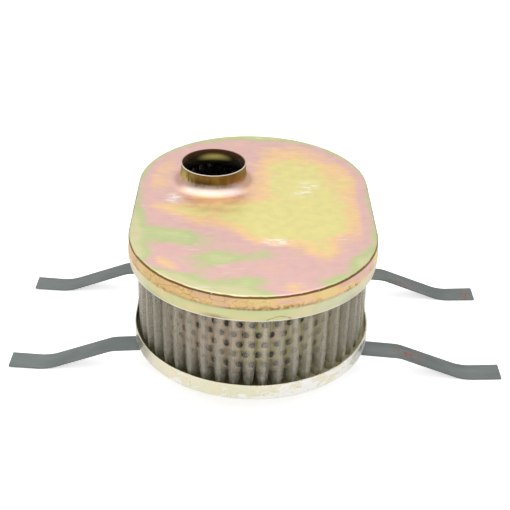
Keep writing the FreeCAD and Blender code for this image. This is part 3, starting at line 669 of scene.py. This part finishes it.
def passivated_pan(colours, casing):
    """The same zinc on the pan, where handling has rubbed the pale film away to white zinc along
    the lower edge and on the right. Oil and painted shade darken the inside of the wall and of the
    floor towards the left."""
    finish = Finish("yellow_passivated_zinc_pan")
    add, low, plate = finish.add, PAN_BOX[0].z / MM, casing.plate / MM
    film = finish.mottle(12, 4, start=0.84, end=1.06, stretch=(2.5, 2.5, 0.8))
    rosy = finish.mottle(4, 5, 0.50, 0.66, 0.0, 0.4, stretch=(2.5, 2.5, 0.8), rough=0.65, shift=6.0)
    worn = finish.join("plus", finish.grain(3.2, 5, (2.4, 2.4, 1), shift=5.0, rough=0.65),
                       add("step", finish.x, -25, 50, 0.0, 0.16),
                       add("step", finish.z, low + 4.5, low + 0.8, 0.0, 0.12))
    worn = add("step", worn, 0.60, 0.68)
    wall, rim = casing.pan_radius / MM - plate / 2, finish.from_middle_line(casing.half_straight / MM)
    # Oil and painted shade on the inside of the wall and floor, towards the left
    oil_and_left_shade = finish.join("times", add("step", rim, wall + 0.15, wall - 0.15),
                        add("step", finish.z, low + 0.4 * plate, low + 0.8 * plate),
                        add("step", finish.x, 40, 10))
    tint = finish.coat(add("ramp", film, stops=film_stops(colours)), (rosy, colours.film_orange),
                       (0.45, colours.pan_cream), (worn, colours.bare_zinc),
                       (finish.mottle(0.9, 2, 0.66, 0.74, 0.0, 0.5, shift=9.0), colours.tide_brown),
                       (oil_and_left_shade, colours.oil))
    waves = add("relief", finish.grain(8, 2, (2, 2, 1)), 0.10 * MM, 0.6)
    return finish.done(Base_Color=tint, Metallic=1.0, Roughness=add("step", worn, 0.0, 1.0, 0.26, 0.42),
                       Normal=add("relief", worn, 0.02 * MM, 0.5, waves))


def woven_wire(colours):
    """Woven stainless wire, about a tenth of a millimetre thick. Its openings are too fine to show,
    so it is drawn as a sheer sheet that thins in a faint weave of 0.8 mm. Towards the neck, where
    most oil passes, it has caught more dirt and lets less through. The crowns of the folds carry a
    painted highlight, and painted shade lies between them. Resin has soaked into both ends."""
    finish = Finish("woven_stainless_wire")
    add, weave = finish.add, 0.8
    thread = add("pattern", add("coordinates").node.outputs["UV"], (0, 0, 0), (0, 0, 0),
                 (1 / weave, 1 / weave, 1))
    dots = add("cells", thread, 1.0, 0.35)
    ragged = finish.ragged(finish.z, 8, 5, 3)
    low, high = LOWER_RESIN_BOX[1].z / MM, UPPER_RESIN_BOX[0].z / MM
    wicked = add("limit", add("plus", add("step", ragged, low + 10, low + 5),
                              add("step", ragged, high + 2, high + 6)))
    crown = add("attribute", attribute_name="crown")
    cover = finish.join(
        "plus", add("step", dots, 0.2, 0.6, 0.37, 0.23), add("step", finish.y, -70, 70, 0.0, 0.45),
        finish.patch((-21, 78, 50), (38, 34, 20), edge=0.6, amount=0.45), add("times", wicked, 0.5),
        add("step", crown, 0.85, 1.0, 0.0, 0.05))
    tint = finish.coat(colours.wire_shade, (finish.mottle(14, 3, stretch=(1, 1, 3)), colours.wire),
                       (add("times", wicked, 0.85), colours.wick))
    # A painted highlight on the crowns; painted shade in the cloth between the folds
    crown_highlight = add("step", crown, 0.85, 1.0)
    tint = add("mix", crown_highlight, add("mix", wicked, colours.fold_shade_wire, colours.fold_shade_wick), tint)
    metal = add("times", add("step", wicked, 0.0, 1.0, 1.0, 0.3),
                add("step", crown_highlight, 0.0, 1.0, 0.45, 1.0))
    return finish.done(Base_Color=tint, Metallic=metal, Roughness=0.5, Sheen_Weight=0.35,
                       Sheen_Roughness=0.3, Alpha=add("limit", cover),
                       Normal=add("relief", dots, 0.05 * MM, 0.5))


def plain_metal(name, tint, second, rough, width=4.0):
    """Zinc plate or stainless sheet without a film: satin grey, with a tint and a gloss that drift
    from place to place as handling leaves them."""
    finish = Finish(name)
    return finish.done(
        Base_Color=finish.coat(tint, (finish.mottle(4 * width, 4), second)), Metallic=1.0,
        Roughness=finish.mottle(width, 3, start=rough - 0.06, end=rough + 0.08),
        Normal=finish.add("relief", finish.grain(width / 4, 3), 0.02 * MM, 0.6))


def stained_core(colours, casing, strainer):
    """A thin passivation film on the perforated core, rose and olive outside, and black inside with
    dried oil and painted shade."""
    finish = Finish("thinly_passivated_core")
    add, skin = finish.add, strainer.core_radius / MM
    drift = add("plus", finish.grain(12, 4, (1, 1, 1.6)), add("step", finish.x, -40, 40, -0.10, 0.10))
    # The core's inner face: dried oil and painted shade
    inner_soot_and_shade = add("step", finish.from_middle_line(casing.half_straight / MM), skin - 0.08, skin - 0.2)
    tint = finish.coat(colours.core, (add("step", drift, 0.38, 0.62), colours.core_olive),
                       (inner_soot_and_shade, colours.soot_and_shade))
    return finish.done(Base_Color=tint, Metallic=add("step", inner_soot_and_shade, 0.0, 1.0, 0.45, 0.0), Roughness=0.5,
                       Normal=add("relief", finish.grain(1.5, 3), 0.02 * MM, 0.6))


def phosphated_spring_steel(colours):
    """Hardened strip steel with a grey phosphate skin, rolled along its length, with rust spots."""
    finish = Finish("phosphated_spring_steel")
    add = finish.add
    # Where most of the rust is: the middle, and the reach across and along
    where = [((64, 36, 14), 9, 6), ((86, 34, 8), 12, 7), ((122, 34, 2), 7, 8), ((80, -38, 10), 13, 7)]
    where = finish.join("plus", *(finish.patch(middle, (wide, long, 20), edge=0.2)
                                  for middle, wide, long in where))
    spots = finish.mottle(2.2, 4, 0.50, 0.62, rough=0.65, shift=4.0)
    anywhere = finish.mottle(3, 4, 0.70, 0.78, 0.0, 0.4, shift=8.0)
    rust = add("limit", add("plus", add("times", spots, where), anywhere))
    tint = finish.coat(colours.phosphate_dark,
                       (finish.mottle(10, 4, stretch=(4, 1, 1)), colours.phosphate),
                       (rust, colours.rust))
    return finish.done(Base_Color=tint, Metallic=add("step", rust, 0.0, 1.0, 0.85, 0.1),
                       Roughness=add("step", rust, 0.0, 1.0, 0.46, 0.85),
                       Normal=add("relief", finish.grain(0.8, 3, (6, 1, 1)), 0.02 * MM, 0.6))


def cast_resin(colours):
    """Cast polyurethane resin: cream, olive under old oil and painted shade towards the left,
    slightly glossy, with small bubbles.
    """
    finish = Finish("cast_polyurethane_resin")
    # Old oil and painted shade towards the left
    oil_and_left_shade = finish.add("step", finish.ragged(finish.x, 30, 6, 4), 50, 20)
    tint = finish.coat(colours.resin_shade, (finish.mottle(9, 4), colours.resin), (oil_and_left_shade, colours.oil))
    pits = finish.add("step", finish.add("cells", finish.place, 0.45, 1.0), 0.1, 0.3)
    return finish.done(Base_Color=tint, Roughness=0.38,
                       Normal=finish.add("relief", pits, 0.15 * MM, 0.5))


def sintered_ferrite(colours):
    """Sintered ferrite: dark grey ceramic, ground on its faces."""
    finish = Finish("sintered_ferrite")
    tint = finish.coat(colours.ferrite_dark, (finish.mottle(3, 4), colours.ferrite))
    return finish.done(Base_Color=tint, Roughness=0.55,
                       Normal=finish.add("relief", finish.grain(0.5, 3), 0.03 * MM, 0.6))


# Pieces

class FILTER_OT_cap(bpy.types.Operator):
    """Model the pressed cap with its drawn neck"""

    bl_idname = "filter.cap"
    bl_label = "Cap"

    def execute(self, context):
        casing = context.scene.filter_casing
        top, radius, reach = casing.top, casing.radius, 0.6 * MM
        step, low = top - casing.upper_band, CAP_BOX[0].z
        swelled = radius + casing.swell
        end_steps, side_steps = 48, 10
        bm = bmesh.new()
        sweep_oval(bm, casing.half_straight, [
            (radius - casing.edge_round - reach, top), (radius, top), (radius, step),
            (swelled, step - casing.step), (swelled, low + casing.turn_height),
            (swelled - casing.turn_in, low)],
            [(1, casing.edge_round), (2, casing.step_round), (3, casing.step_round),
             (4, casing.turn_round)],
            end_steps, side_steps)
        rim = open_edges(bm, top)
        foot = self.draw_neck(bm, casing, reach, 2 * (end_steps + side_steps))
        bmesh.ops.recalc_face_normals(bm, faces=bm.faces)
        flat = bmesh.ops.bridge_loops(bm, edges=rim + foot)
        bmesh.ops.subdivide_edges(bm, edges=flat["edges"], cuts=20)
        bmesh.ops.recalc_face_normals(bm, faces=bm.faces)

        # The flat is not quite flat: pressing left it a little wavy
        wave, waves_per_metre = 0.05 * MM, 30
        for vert in bm.verts:
            if abs(vert.co.z - top) < SHEET_MERGE:
                vert.co.z += wave * noise.noise(vert.co * waves_per_metre)
        give_wall(bm, casing.plate)
        finish_piece(bm, "cap_shell", ["top_cap"],
                     CapFinish(context.scene.filter_colours, casing).made(), casing.worn_edge)
        return {"FINISHED"}

    def draw_neck(self, bm, casing, reach, steps):
        """Add the drawn neck and return the edges of its foot."""
        neck = bmesh.new()
        top, flare, lip = casing.top, casing.neck_flare, CAP_BOX[1].z
        land = lip - casing.neck_land
        foot = casing.neck_radius + (land - top) * math.tan(flare)
        setback = casing.neck_fillet * math.tan((math.pi / 2 - flare) / 2)
        spin_round(neck, [(foot + setback + reach, top), (foot, top), (casing.neck_radius, land),
                          (casing.neck_radius, lip)],
                   [(1, casing.neck_fillet), (2, casing.neck_bend)], segments=10, steps=steps)
        move(neck, neck.verts, casing.neck_x, casing.half_straight)
        drawn = bpy.data.meshes.new("drawn_neck")
        neck.to_mesh(drawn)
        neck.free()
        known = set(bm.edges)
        bm.from_mesh(drawn)
        bpy.data.meshes.remove(drawn)
        return [edge for edge in open_edges(bm, top) if edge not in known]


class FILTER_OT_pan(bpy.types.Operator):
    """Model the pressed pan"""

    bl_idname = "filter.pan"
    bl_label = "Pan"

    def execute(self, context):
        casing = context.scene.filter_casing
        low, rim = PAN_BOX[0].z, PAN_BOX[1].z
        radius, reach = casing.pan_radius, 0.6 * MM
        bm = bmesh.new()
        sweep_oval(bm, casing.half_straight,
                   [(radius - casing.edge_round - reach, low), (radius, low), (radius, rim)],
                   [(1, casing.edge_round)])
        bmesh.ops.holes_fill(bm, edges=open_edges(bm, low), sides=0)
        # The rim was trimmed by hand, so its height wanders
        trim, waves_per_metre = 0.35 * MM, 55
        for vert in bm.verts:
            if vert.co.z > rim - SHEET_MERGE:
                vert.co.z -= trim * abs(noise.noise(vert.co * waves_per_metre))
        give_wall(bm, casing.plate)
        finish_piece(bm, "pan_shell", ["bottom_pan"],
                     passivated_pan(context.scene.filter_colours, casing), casing.worn_edge)
        return {"FINISHED"}


class FILTER_OT_resin(bpy.types.Operator):
    """Model the two rings of cast resin that hold the strainer"""

    bl_idname = "filter.resin"
    bl_label = "Resin"

    def execute(self, context):
        casing, strainer = context.scene.filter_casing, context.scene.filter_strainer
        material = cast_resin(context.scene.filter_colours)
        inner = strainer.core_radius
        rings = [
            ("lower_resin", "bottom_potting", LOWER_RESIN_BOX, casing.pan_radius - casing.plate, 1),
            ("upper_resin", "top_potting", UPPER_RESIN_BOX, casing.radius - casing.plate, -1),
        ]
        for name, node, box, outer, way in rings:
            level, base = (box[1].z, box[0].z) if way > 0 else (box[0].z, box[1].z)
            # The resin has crept up both walls and sunk between them, and clears the sheet's round
            crept, sunk, corner = (way * depth * MM for depth in (0.5, 0.8, 1.4))
            bm = bmesh.new()
            sweep_oval(bm, casing.half_straight, [
                (inner, base), (inner, level), (inner + 1.2 * MM, level - crept),
                (inner + 3.5 * MM, level - sunk), (outer - 3.0 * MM, level - sunk),
                (outer - 0.9 * MM, level - crept), (outer, level), (outer, base + corner),
                (outer - abs(corner), base), (inner, base)],
                side_steps=24)
            surface, ripple, ripples_per_metre = 1.2 * MM, 0.3 * MM, 130
            for vert in bm.verts:
                if abs(vert.co.z - level) < surface:
                    vert.co.z += way * ripple * (noise.noise(vert.co * ripples_per_metre) - 0.6)
            bmesh.ops.recalc_face_normals(bm, faces=bm.faces)
            finish_piece(bm, name, [node], material)
        return {"FINISHED"}


class FILTER_OT_core(bpy.types.Operator):
    """Model the perforated core, punched in staggered rows and rolled to the oval"""

    bl_idname = "filter.core"
    bl_label = "Core"

    def execute(self, context):
        casing, strainer = context.scene.filter_casing, context.scene.filter_strainer
        radius, columns = strainer.core_radius, strainer.hole_columns
        pitch = (4 * casing.half_straight + 2 * math.pi * radius) / columns
        row_pitch, rows = strainer.row_pitch, strainer.hole_rows
        first_row = PAN_BOX[0].z + strainer.first_row

        bm = bmesh.new()
        cell = Matrix.Diagonal((pitch / 2, row_pitch / 2, 1, 1))
        bmesh.ops.create_grid(bm, x_segments=4, y_segments=4, size=1, matrix=cell)
        inside = [vert for vert in bm.verts if not vert.is_boundary]
        bmesh.ops.delete(bm, geom=inside, context="VERTS")
        outline = bm.edges[:]
        hole = bmesh.ops.create_circle(bm, segments=16, radius=strainer.hole_radius)["verts"]
        hole_edges = list({edge for vert in hole for edge in vert.link_edges})
        bmesh.ops.bridge_loops(bm, edges=outline + hole_edges)
        upright = Matrix.Rotation(math.pi / 2, 3, "X")
        bmesh.ops.rotate(bm, verts=bm.verts, cent=(0, 0, 0), matrix=upright)
        one = all_of(bm)
        for row in range(rows):
            for column in range(columns):
                if row or column:
                    move(bm, copy_verts(bm, one), x=(column + row % 2 / 2) * pitch, z=row * row_pitch)
        move(bm, bm.verts, z=first_row)
        bmesh.ops.remove_doubles(bm, verts=bm.verts, dist=SHEET_MERGE)
        # Plain sheet carries on below the lowest row and above the highest one
        for height, goal in ((first_row - row_pitch / 2, CORE_BOX[0].z),
                             (first_row + (rows - 0.5) * row_pitch, CORE_BOX[1].z)):
            extrude(bm, open_edges(bm, height), z=goal - height)
        wrap(bm, casing.half_straight, radius)
        bmesh.ops.remove_doubles(bm, verts=bm.verts, dist=SHEET_MERGE)
        give_wall(bm, strainer.core_plate)
        finish_piece(bm, "punched_core", ["perforated_core"],
                     stained_core(context.scene.filter_colours, casing, strainer))
        return {"FINISHED"}


class FILTER_OT_pleats(bpy.types.Operator):
    """Model the band of woven wire, folded into uneven pleats"""

    bl_idname = "filter.pleats"
    bl_label = "Pleats"

    def execute(self, context):
        casing, strainer = context.scene.filter_casing, context.scene.filter_strainer
        line = strainer.pleat_line
        total = 4 * casing.half_straight + 2 * math.pi * line
        low, high = LOWER_RESIN_BOX[1].z - strainer.soak, UPPER_RESIN_BOX[0].z + strainer.soak
        root, tip = strainer.root_radius - line, strainer.tip_radius - line - 0.1 * MM
        bm = bmesh.new()
        middles = self.fold(bm, strainer, total, low, root, tip)
        edges, levels = bm.edges[:], 12
        layer = bm.loops.layers.uv.new("UVMap")
        for _ in range(levels):
            edges = extrude(bm, edges, z=(high - low) / levels)
        self.wear(bm, middles, low, high, root, tip)
        for face in bm.faces:
            for loop in face.loops:
                x, y, z = loop.vert.co / MM
                loop[layer].uv = (x + abs(y) * 2, z)
        wrap(bm, casing.half_straight, line)
        bmesh.ops.remove_doubles(bm, verts=bm.verts, dist=SHEET_MERGE)
        bmesh.ops.recalc_face_normals(bm, faces=bm.faces)
        finish_piece(bm, "pleated_cloth", ["pleated_mesh"],
                     woven_wire(context.scene.filter_colours))
        return {"FINISHED"}

    def fold(self, bm, strainer, total, low, root, tip):
        """Draw the folded edge of the band as a flat run, and return the middles of its folds. In
        the random draws, folds stand up to 0.3 mm aside, tips up to 0.4 mm in and 0.2 mm aside."""
        rng = random.Random(7)
        count = strainer.pleats
        middles = [self.fold_place(fold * total / count, total, strainer.gather)
                   + rng.uniform(-0.3, 0.3) * MM for fold in range(count)]
        middles = [middles[-1] - total, *middles, middles[0] + total]
        verts, tips = [], []
        # How far up a fold's crown a place is, which the cloth's finish reads
        crown = bm.verts.layers.float.new("crown")
        half_root, half_tip = strainer.root_gap / 2, strainer.tip_gap / 2
        for before, middle, after in zip(middles, middles[1:], middles[2:]):
            left, right = (before + middle) / 2, (middle + after) / 2
            out = tip - rng.uniform(0.0, 0.4) * MM
            aside = rng.uniform(-0.2, 0.2) * MM
            fold = [bm.verts.new((x, y, low)) for x, y in (
                (left + half_root, root), (left + half_tip + aside, out),
                (right - half_tip + aside, out), (right - half_root, root))]
            verts += fold
            tips.append(fold[1:3])
        verts.append(bm.verts.new((verts[0].co.x + total, root, low)))
        for pair in zip(verts, verts[1:]):
            bm.edges.new(pair)
        roots = [vert for vert in verts[1:-1] if vert.co.y < (root + tip) / 2]
        # A fold's crown is nearly a half round
        for pair in tips:
            width, out = pair[1].co.x - pair[0].co.x, pair[0].co.y
            for vert in bmesh.ops.bevel(bm, geom=pair, affect="VERTICES", segments=6, profile=0.5,
                                        material=-1, offset=0.46 * width)["verts"]:
                vert[crown] = max(0.0, 1.0 - (out - vert.co.y) / strainer.crown)
        bmesh.ops.bevel(bm, geom=roots, affect="VERTICES", segments=2, profile=0.5, material=-1,
                        offset=strainer.root_round)
        return middles

    def fold_place(self, along, total, gather):
        """Where a fold's middle is on the line round the oval. The folds were gathered by hand, so
        they are closer in the middle of an end than on its shoulders."""
        start, end_length = 1.5 * MM, 124 * MM
        near = (along + total / 4) % (total / 2) - total / 4
        drawn = gather * math.sin(math.pi * near / end_length) ** 4
        return along - start + math.copysign(drawn, near)

    def wear(self, bm, middles, low, high, root, tip):
        """Let the folds lean and bulge a little, each its own way, and pinch them at the foot."""
        # A lean's and a dent's size, its width along the band, how fast it changes on the way up,
        # and a number that sets its noise apart
        lean, lean_width, lean_change, lean_seed = 0.7 * MM, 12 * MM, 0.8, 4.0
        dent, dent_width, dent_change, dent_seed = 0.4, 7 * MM, 2.5, 9.0
        # The share of the height that the pinch takes, how far it draws a fold's sides together, and
        # how far it draws the fold in
        pinched, narrowed, drawn_in = 0.22, 0.45, 0.8
        for vert in bm.verts:
            share = (vert.co.z - low) / (high - low)
            out = (vert.co.y - root) / (tip - root)
            middle = min(middles, key=lambda place: abs(place - vert.co.x))
            foot = max(0.0, 1 - share / pinched) ** 2
            vert.co.x += (middle - vert.co.x) * narrowed * foot * out
            leaning = noise.noise(Vector((middle / lean_width, share * lean_change, lean_seed)))
            vert.co.x += lean * leaning * out * math.sin(math.pi * share)
            dented = noise.noise(Vector((middle / dent_width, share * dent_change, dent_seed)))
            vert.co.y -= (dent * abs(dented) + drawn_in * foot) * MM * out


class FILTER_OT_leaf_springs(bpy.types.Operator):
    """Model the two strips of spring steel that carry the filter"""

    bl_idname = "filter.leaf_springs"
    bl_label = "Leaf springs"

    def execute(self, context):
        legs = context.scene.filter_legs
        material = phosphated_spring_steel(context.scene.filter_colours)
        top = PAN_BOX[0].z
        middle, foot = top - legs.plate / 2, legs.plate / 2
        knee = middle - legs.knee_drop
        # The foot's bend touches the ground at its place, so the corner that it rounds lies beyond
        fall = math.atan2(knee - foot, legs.foot_x - legs.knee_x)
        rise = math.atan2(legs.toe_lift, legs.toe_x - legs.foot_x)
        stretch = legs.foot_bend / math.cos((fall + rise) / 2)
        foot_x = legs.foot_x - stretch * math.sin((fall - rise) / 2)
        foot_z = foot + legs.foot_bend - stretch * math.cos((fall - rise) / 2)
        for name, side in (("front_leaf_spring", -1), ("back_leaf_spring", 1)):
            bm = bmesh.new()
            _, edges = corner_run(bm, [
                (0, middle), (legs.flat, middle), (legs.knee_x, knee), (foot_x, foot_z),
                (legs.toe_x, foot + legs.toe_lift)],
                [(1, legs.spring_bend), (2, legs.knee_bend), (3, legs.foot_bend)],
                y=-legs.width / 2)
            extrude(bm, edges, y=legs.width)
            add_turned_copy(bm)
            give_wall(bm, legs.plate)
            bmesh.ops.recalc_face_normals(bm, faces=bm.faces)
            move(bm, bm.verts, z=top - max(vert.co.z for vert in bm.verts))
            place = Matrix.Translation((legs.offset, side * legs.place_y, 0))
            bmesh.ops.transform(bm, verts=bm.verts, matrix=place @ Matrix.Rotation(-legs.skew, 4, "Z"))
            finish_piece(bm, f"{name}_strip", [name], material, legs.worn_edge)
        return {"FINISHED"}


class FILTER_OT_rivets(bpy.types.Operator):
    """Model the rivets of the strips"""

    bl_idname = "filter.rivets"
    bl_label = "Rivets"

    def execute(self, context):
        legs, colours = context.scene.filter_legs, context.scene.filter_colours
        material = plain_metal("zinc_plated_rivet_steel", colours.bare_zinc, colours.rivet,
                               rough=0.34, width=2.0)
        low = PAN_BOX[0].z - legs.plate
        high = PAN_BOX[0].z + context.scene.filter_casing.plate
        head, tall, shank = legs.head_radius, legs.head_height, legs.rivet_radius
        crown, rim = 0.55 * head, 0.4 * tall
        corners = [(0, low - tall), (crown, low - tall), (head, low - rim), (head, low), (shank, low),
                   (shank, high), (head, high), (head, high + rim), (crown, high + tall),
                   (0, high + tall)]
        rounds = [(1, legs.crown_round), (2, legs.rim_round), (7, legs.rim_round),
                  (8, legs.crown_round)]
        for end, y in (("front", -legs.place_y), ("back", legs.place_y)):
            for hand, way in (("left", -1), ("right", 1)):
                bm = bmesh.new()
                spin_round(bm, corners, rounds, segments=4, steps=40)
                bmesh.ops.remove_doubles(bm, verts=bm.verts, dist=MERGE)
                bmesh.ops.recalc_face_normals(bm, faces=bm.faces)
                along = way * legs.rivet_spacing / 2
                move(bm, bm.verts, x=legs.offset + along * math.cos(legs.skew),
                     y=y - along * math.sin(legs.skew))
                finish_piece(bm, f"{end}_{hand}_rivet_head", [f"{end}_{hand}_rivet"],
                             material, edge_bevel=0.1 * MM, crease=50)
        return {"FINISHED"}


class FILTER_OT_magnet(bpy.types.Operator):
    """Finish the magnet between its pole plates, and the clip on the cloth's seam"""

    bl_idname = "filter.magnet"
    bl_label = "Magnet and clip"

    def execute(self, context):
        colours = context.scene.filter_colours
        plate = plain_metal("zinc_plated_pole_steel", colours.bare_zinc, colours.pole, rough=0.36)
        clip = plain_metal("folded_stainless_clip", colours.wire, colours.clip, rough=0.3)
        finishes = {
            "lower_pole_plate": plate, "upper_pole_plate": plate, "magnet_rivet": plate,
            "magnet_ring": sintered_ferrite(colours), "mesh_seam_clip": clip,
        }
        for name, material in finishes.items():
            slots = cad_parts[name].material_slots
            if not slots:
                raise RuntimeError(f"{name} has no material slot")
            for slot in slots:
                slot.material = material
        return {"FINISHED"}


# Where the lamp hangs and what it points at, and the camera that the photograph was taken with: its
# place, and its right and up directions
LAMP_PLACE = Vector((-0.15, -0.1, 1.55))
LAMP_AIM = Vector((0, 0, 0.05))
CAMERA_PLACE = Vector((-6.047, -459.341, 310.817)) * MM
CAMERA_RIGHT = Vector((0.99971979, -0.00267376, 0.02352))
CAMERA_UP = Vector((-0.01901372, 0.50115069, 0.86515112))


class FILTER_OT_studio(bpy.types.Operator):
    """Make the pale floor, the light and the camera"""

    bl_idname = "filter.studio"
    bl_label = "Studio"

    def execute(self, context):
        studio = context.scene.filter_studio
        self.lay_floor(studio)
        self.light_room(context, studio)
        self.set_camera(context, studio)
        context.scene.view_settings.view_transform = "Standard"
        return {"FINISHED"}

    def lay_floor(self, studio):
        """A wide white sheet that takes a soft shadow and shows white in the metal."""
        bm = bmesh.new()
        bmesh.ops.create_grid(bm, x_segments=1, y_segments=1, size=studio.floor_width / 2)
        mesh = bpy.data.meshes.new("studio_floor")
        bm.to_mesh(mesh)
        bm.free()
        floor = bpy.data.objects.new("studio_floor", mesh)
        bpy.context.collection.objects.link(floor)
        finish = Finish("white_paper_floor")
        rays = finish.add("rays").node.outputs
        seen = finish.add("larger", rays["Is Camera Ray"], rays["Is Transmission Ray"])
        glow = finish.add("plus", finish.add("times", seen, 0.6),
                          finish.add("times", rays["Is Glossy Ray"], 0.1))
        mesh.materials.append(finish.done(
            Base_Color=studio.paper, Roughness=0.9, Specular_IOR_Level=0.0,
            Emission_Color=(1, 1, 1, 1), Emission_Strength=glow))

    def light_room(self, context, studio):
        """White walls all round, a dark room in front behind the camera, and a soft lamp above."""
        world = bpy.data.worlds.new("white_room")
        world.use_nodes = True
        context.scene.world = world
        tree = world.node_tree
        way = add_node(tree, "coordinates").node.outputs["Generated"]
        _, y, z = add_node(tree, "parts", way).node.outputs
        rays = add_node(tree, "rays").node.outputs
        dark = rays["Is Glossy Ray"]
        # The dark part lies in front, from just over the floor to under the lamp
        for value, clear, full in ((y, 0.25, -0.25), (z, 0.0, 0.15), (z, 0.50, 0.34)):
            dark = add_node(tree, "times", dark, add_node(tree, "step", value, clear, full))
        background = tree.nodes["Background"].inputs
        plug(tree, background["Color"], add_node(tree, "mix", dark, (1, 1, 1, 1), studio.dark_room))
        plug(tree, background["Strength"],
             add_node(tree, "range", rays["Is Camera Ray"], 0.0, 1.0, studio.room, 1.0))

        lamp = bpy.data.lights.new("overhead_softbox", "AREA")
        lamp.shape = "RECTANGLE"
        lamp.size, lamp.size_y = studio.lamp_width, studio.lamp_depth
        lamp.energy = studio.overhead
        holder = bpy.data.objects.new("overhead_softbox", lamp)
        holder.location = LAMP_PLACE
        holder.rotation_euler = (LAMP_AIM - LAMP_PLACE).to_track_quat("-Z", "Y").to_euler()
        context.collection.objects.link(holder)

    def set_camera(self, context, studio):
        """The photograph's viewpoint."""
        data = bpy.data.cameras.new("camera")
        data.sensor_width = 36.0
        data.lens = studio.lens
        data.clip_start, data.clip_end = 0.01, 20.0
        camera = bpy.data.objects.new("camera", data)
        back = CAMERA_RIGHT.cross(CAMERA_UP)
        turn = Matrix((CAMERA_RIGHT, CAMERA_UP, back)).transposed().to_4x4()
        camera.matrix_world = Matrix.Translation(CAMERA_PLACE) @ turn
        context.collection.objects.link(camera)
        context.scene.camera = camera


class FILTER_PT_panel(bpy.types.Panel):
    """The filter's sizes, colours and pieces in the sidebar"""

    bl_idname = "FILTER_PT_panel"
    bl_label = "Suction filter"
    bl_space_type = "VIEW_3D"
    bl_region_type = "UI"
    bl_category = "Filter"

    def draw(self, context):
        for name, kind in GROUPS.items():
            box = self.layout.box()
            box.label(text=kind.__doc__)
            for prop in kind.__annotations__:
                box.prop(getattr(context.scene, name), prop)
        for operator in PIECES:
            self.layout.operator(operator.bl_idname)


GROUPS = {
    "filter_casing": CasingSizes,
    "filter_strainer": StrainerSizes,
    "filter_legs": LegSizes,
    "filter_colours": FinishColours,
    "filter_studio": StudioSettings,
}
PIECES = [
    FILTER_OT_cap, FILTER_OT_pan, FILTER_OT_resin, FILTER_OT_core, FILTER_OT_pleats,
    FILTER_OT_leaf_springs, FILTER_OT_rivets, FILTER_OT_magnet, FILTER_OT_studio,
]


def register():
    """Make the groups, the operators and the panel known."""
    for kind in (*GROUPS.values(), *PIECES, FILTER_PT_panel):
        bpy.utils.register_class(kind)
    for name, kind in GROUPS.items():
        setattr(bpy.types.Scene, name, PointerProperty(type=kind))


def unregister():
    """Take them away again."""
    for name in GROUPS:
        delattr(bpy.types.Scene, name)
    for kind in (FILTER_PT_panel, *reversed(PIECES), *reversed(GROUPS.values())):
        bpy.utils.unregister_class(kind)


def main():
    """Register the add-on and build every piece in order."""
    register()
    for operator in PIECES:
        group, name = operator.bl_idname.split(".")
        getattr(getattr(bpy.ops, group), name)()


if __name__ == "__main__":
    main()
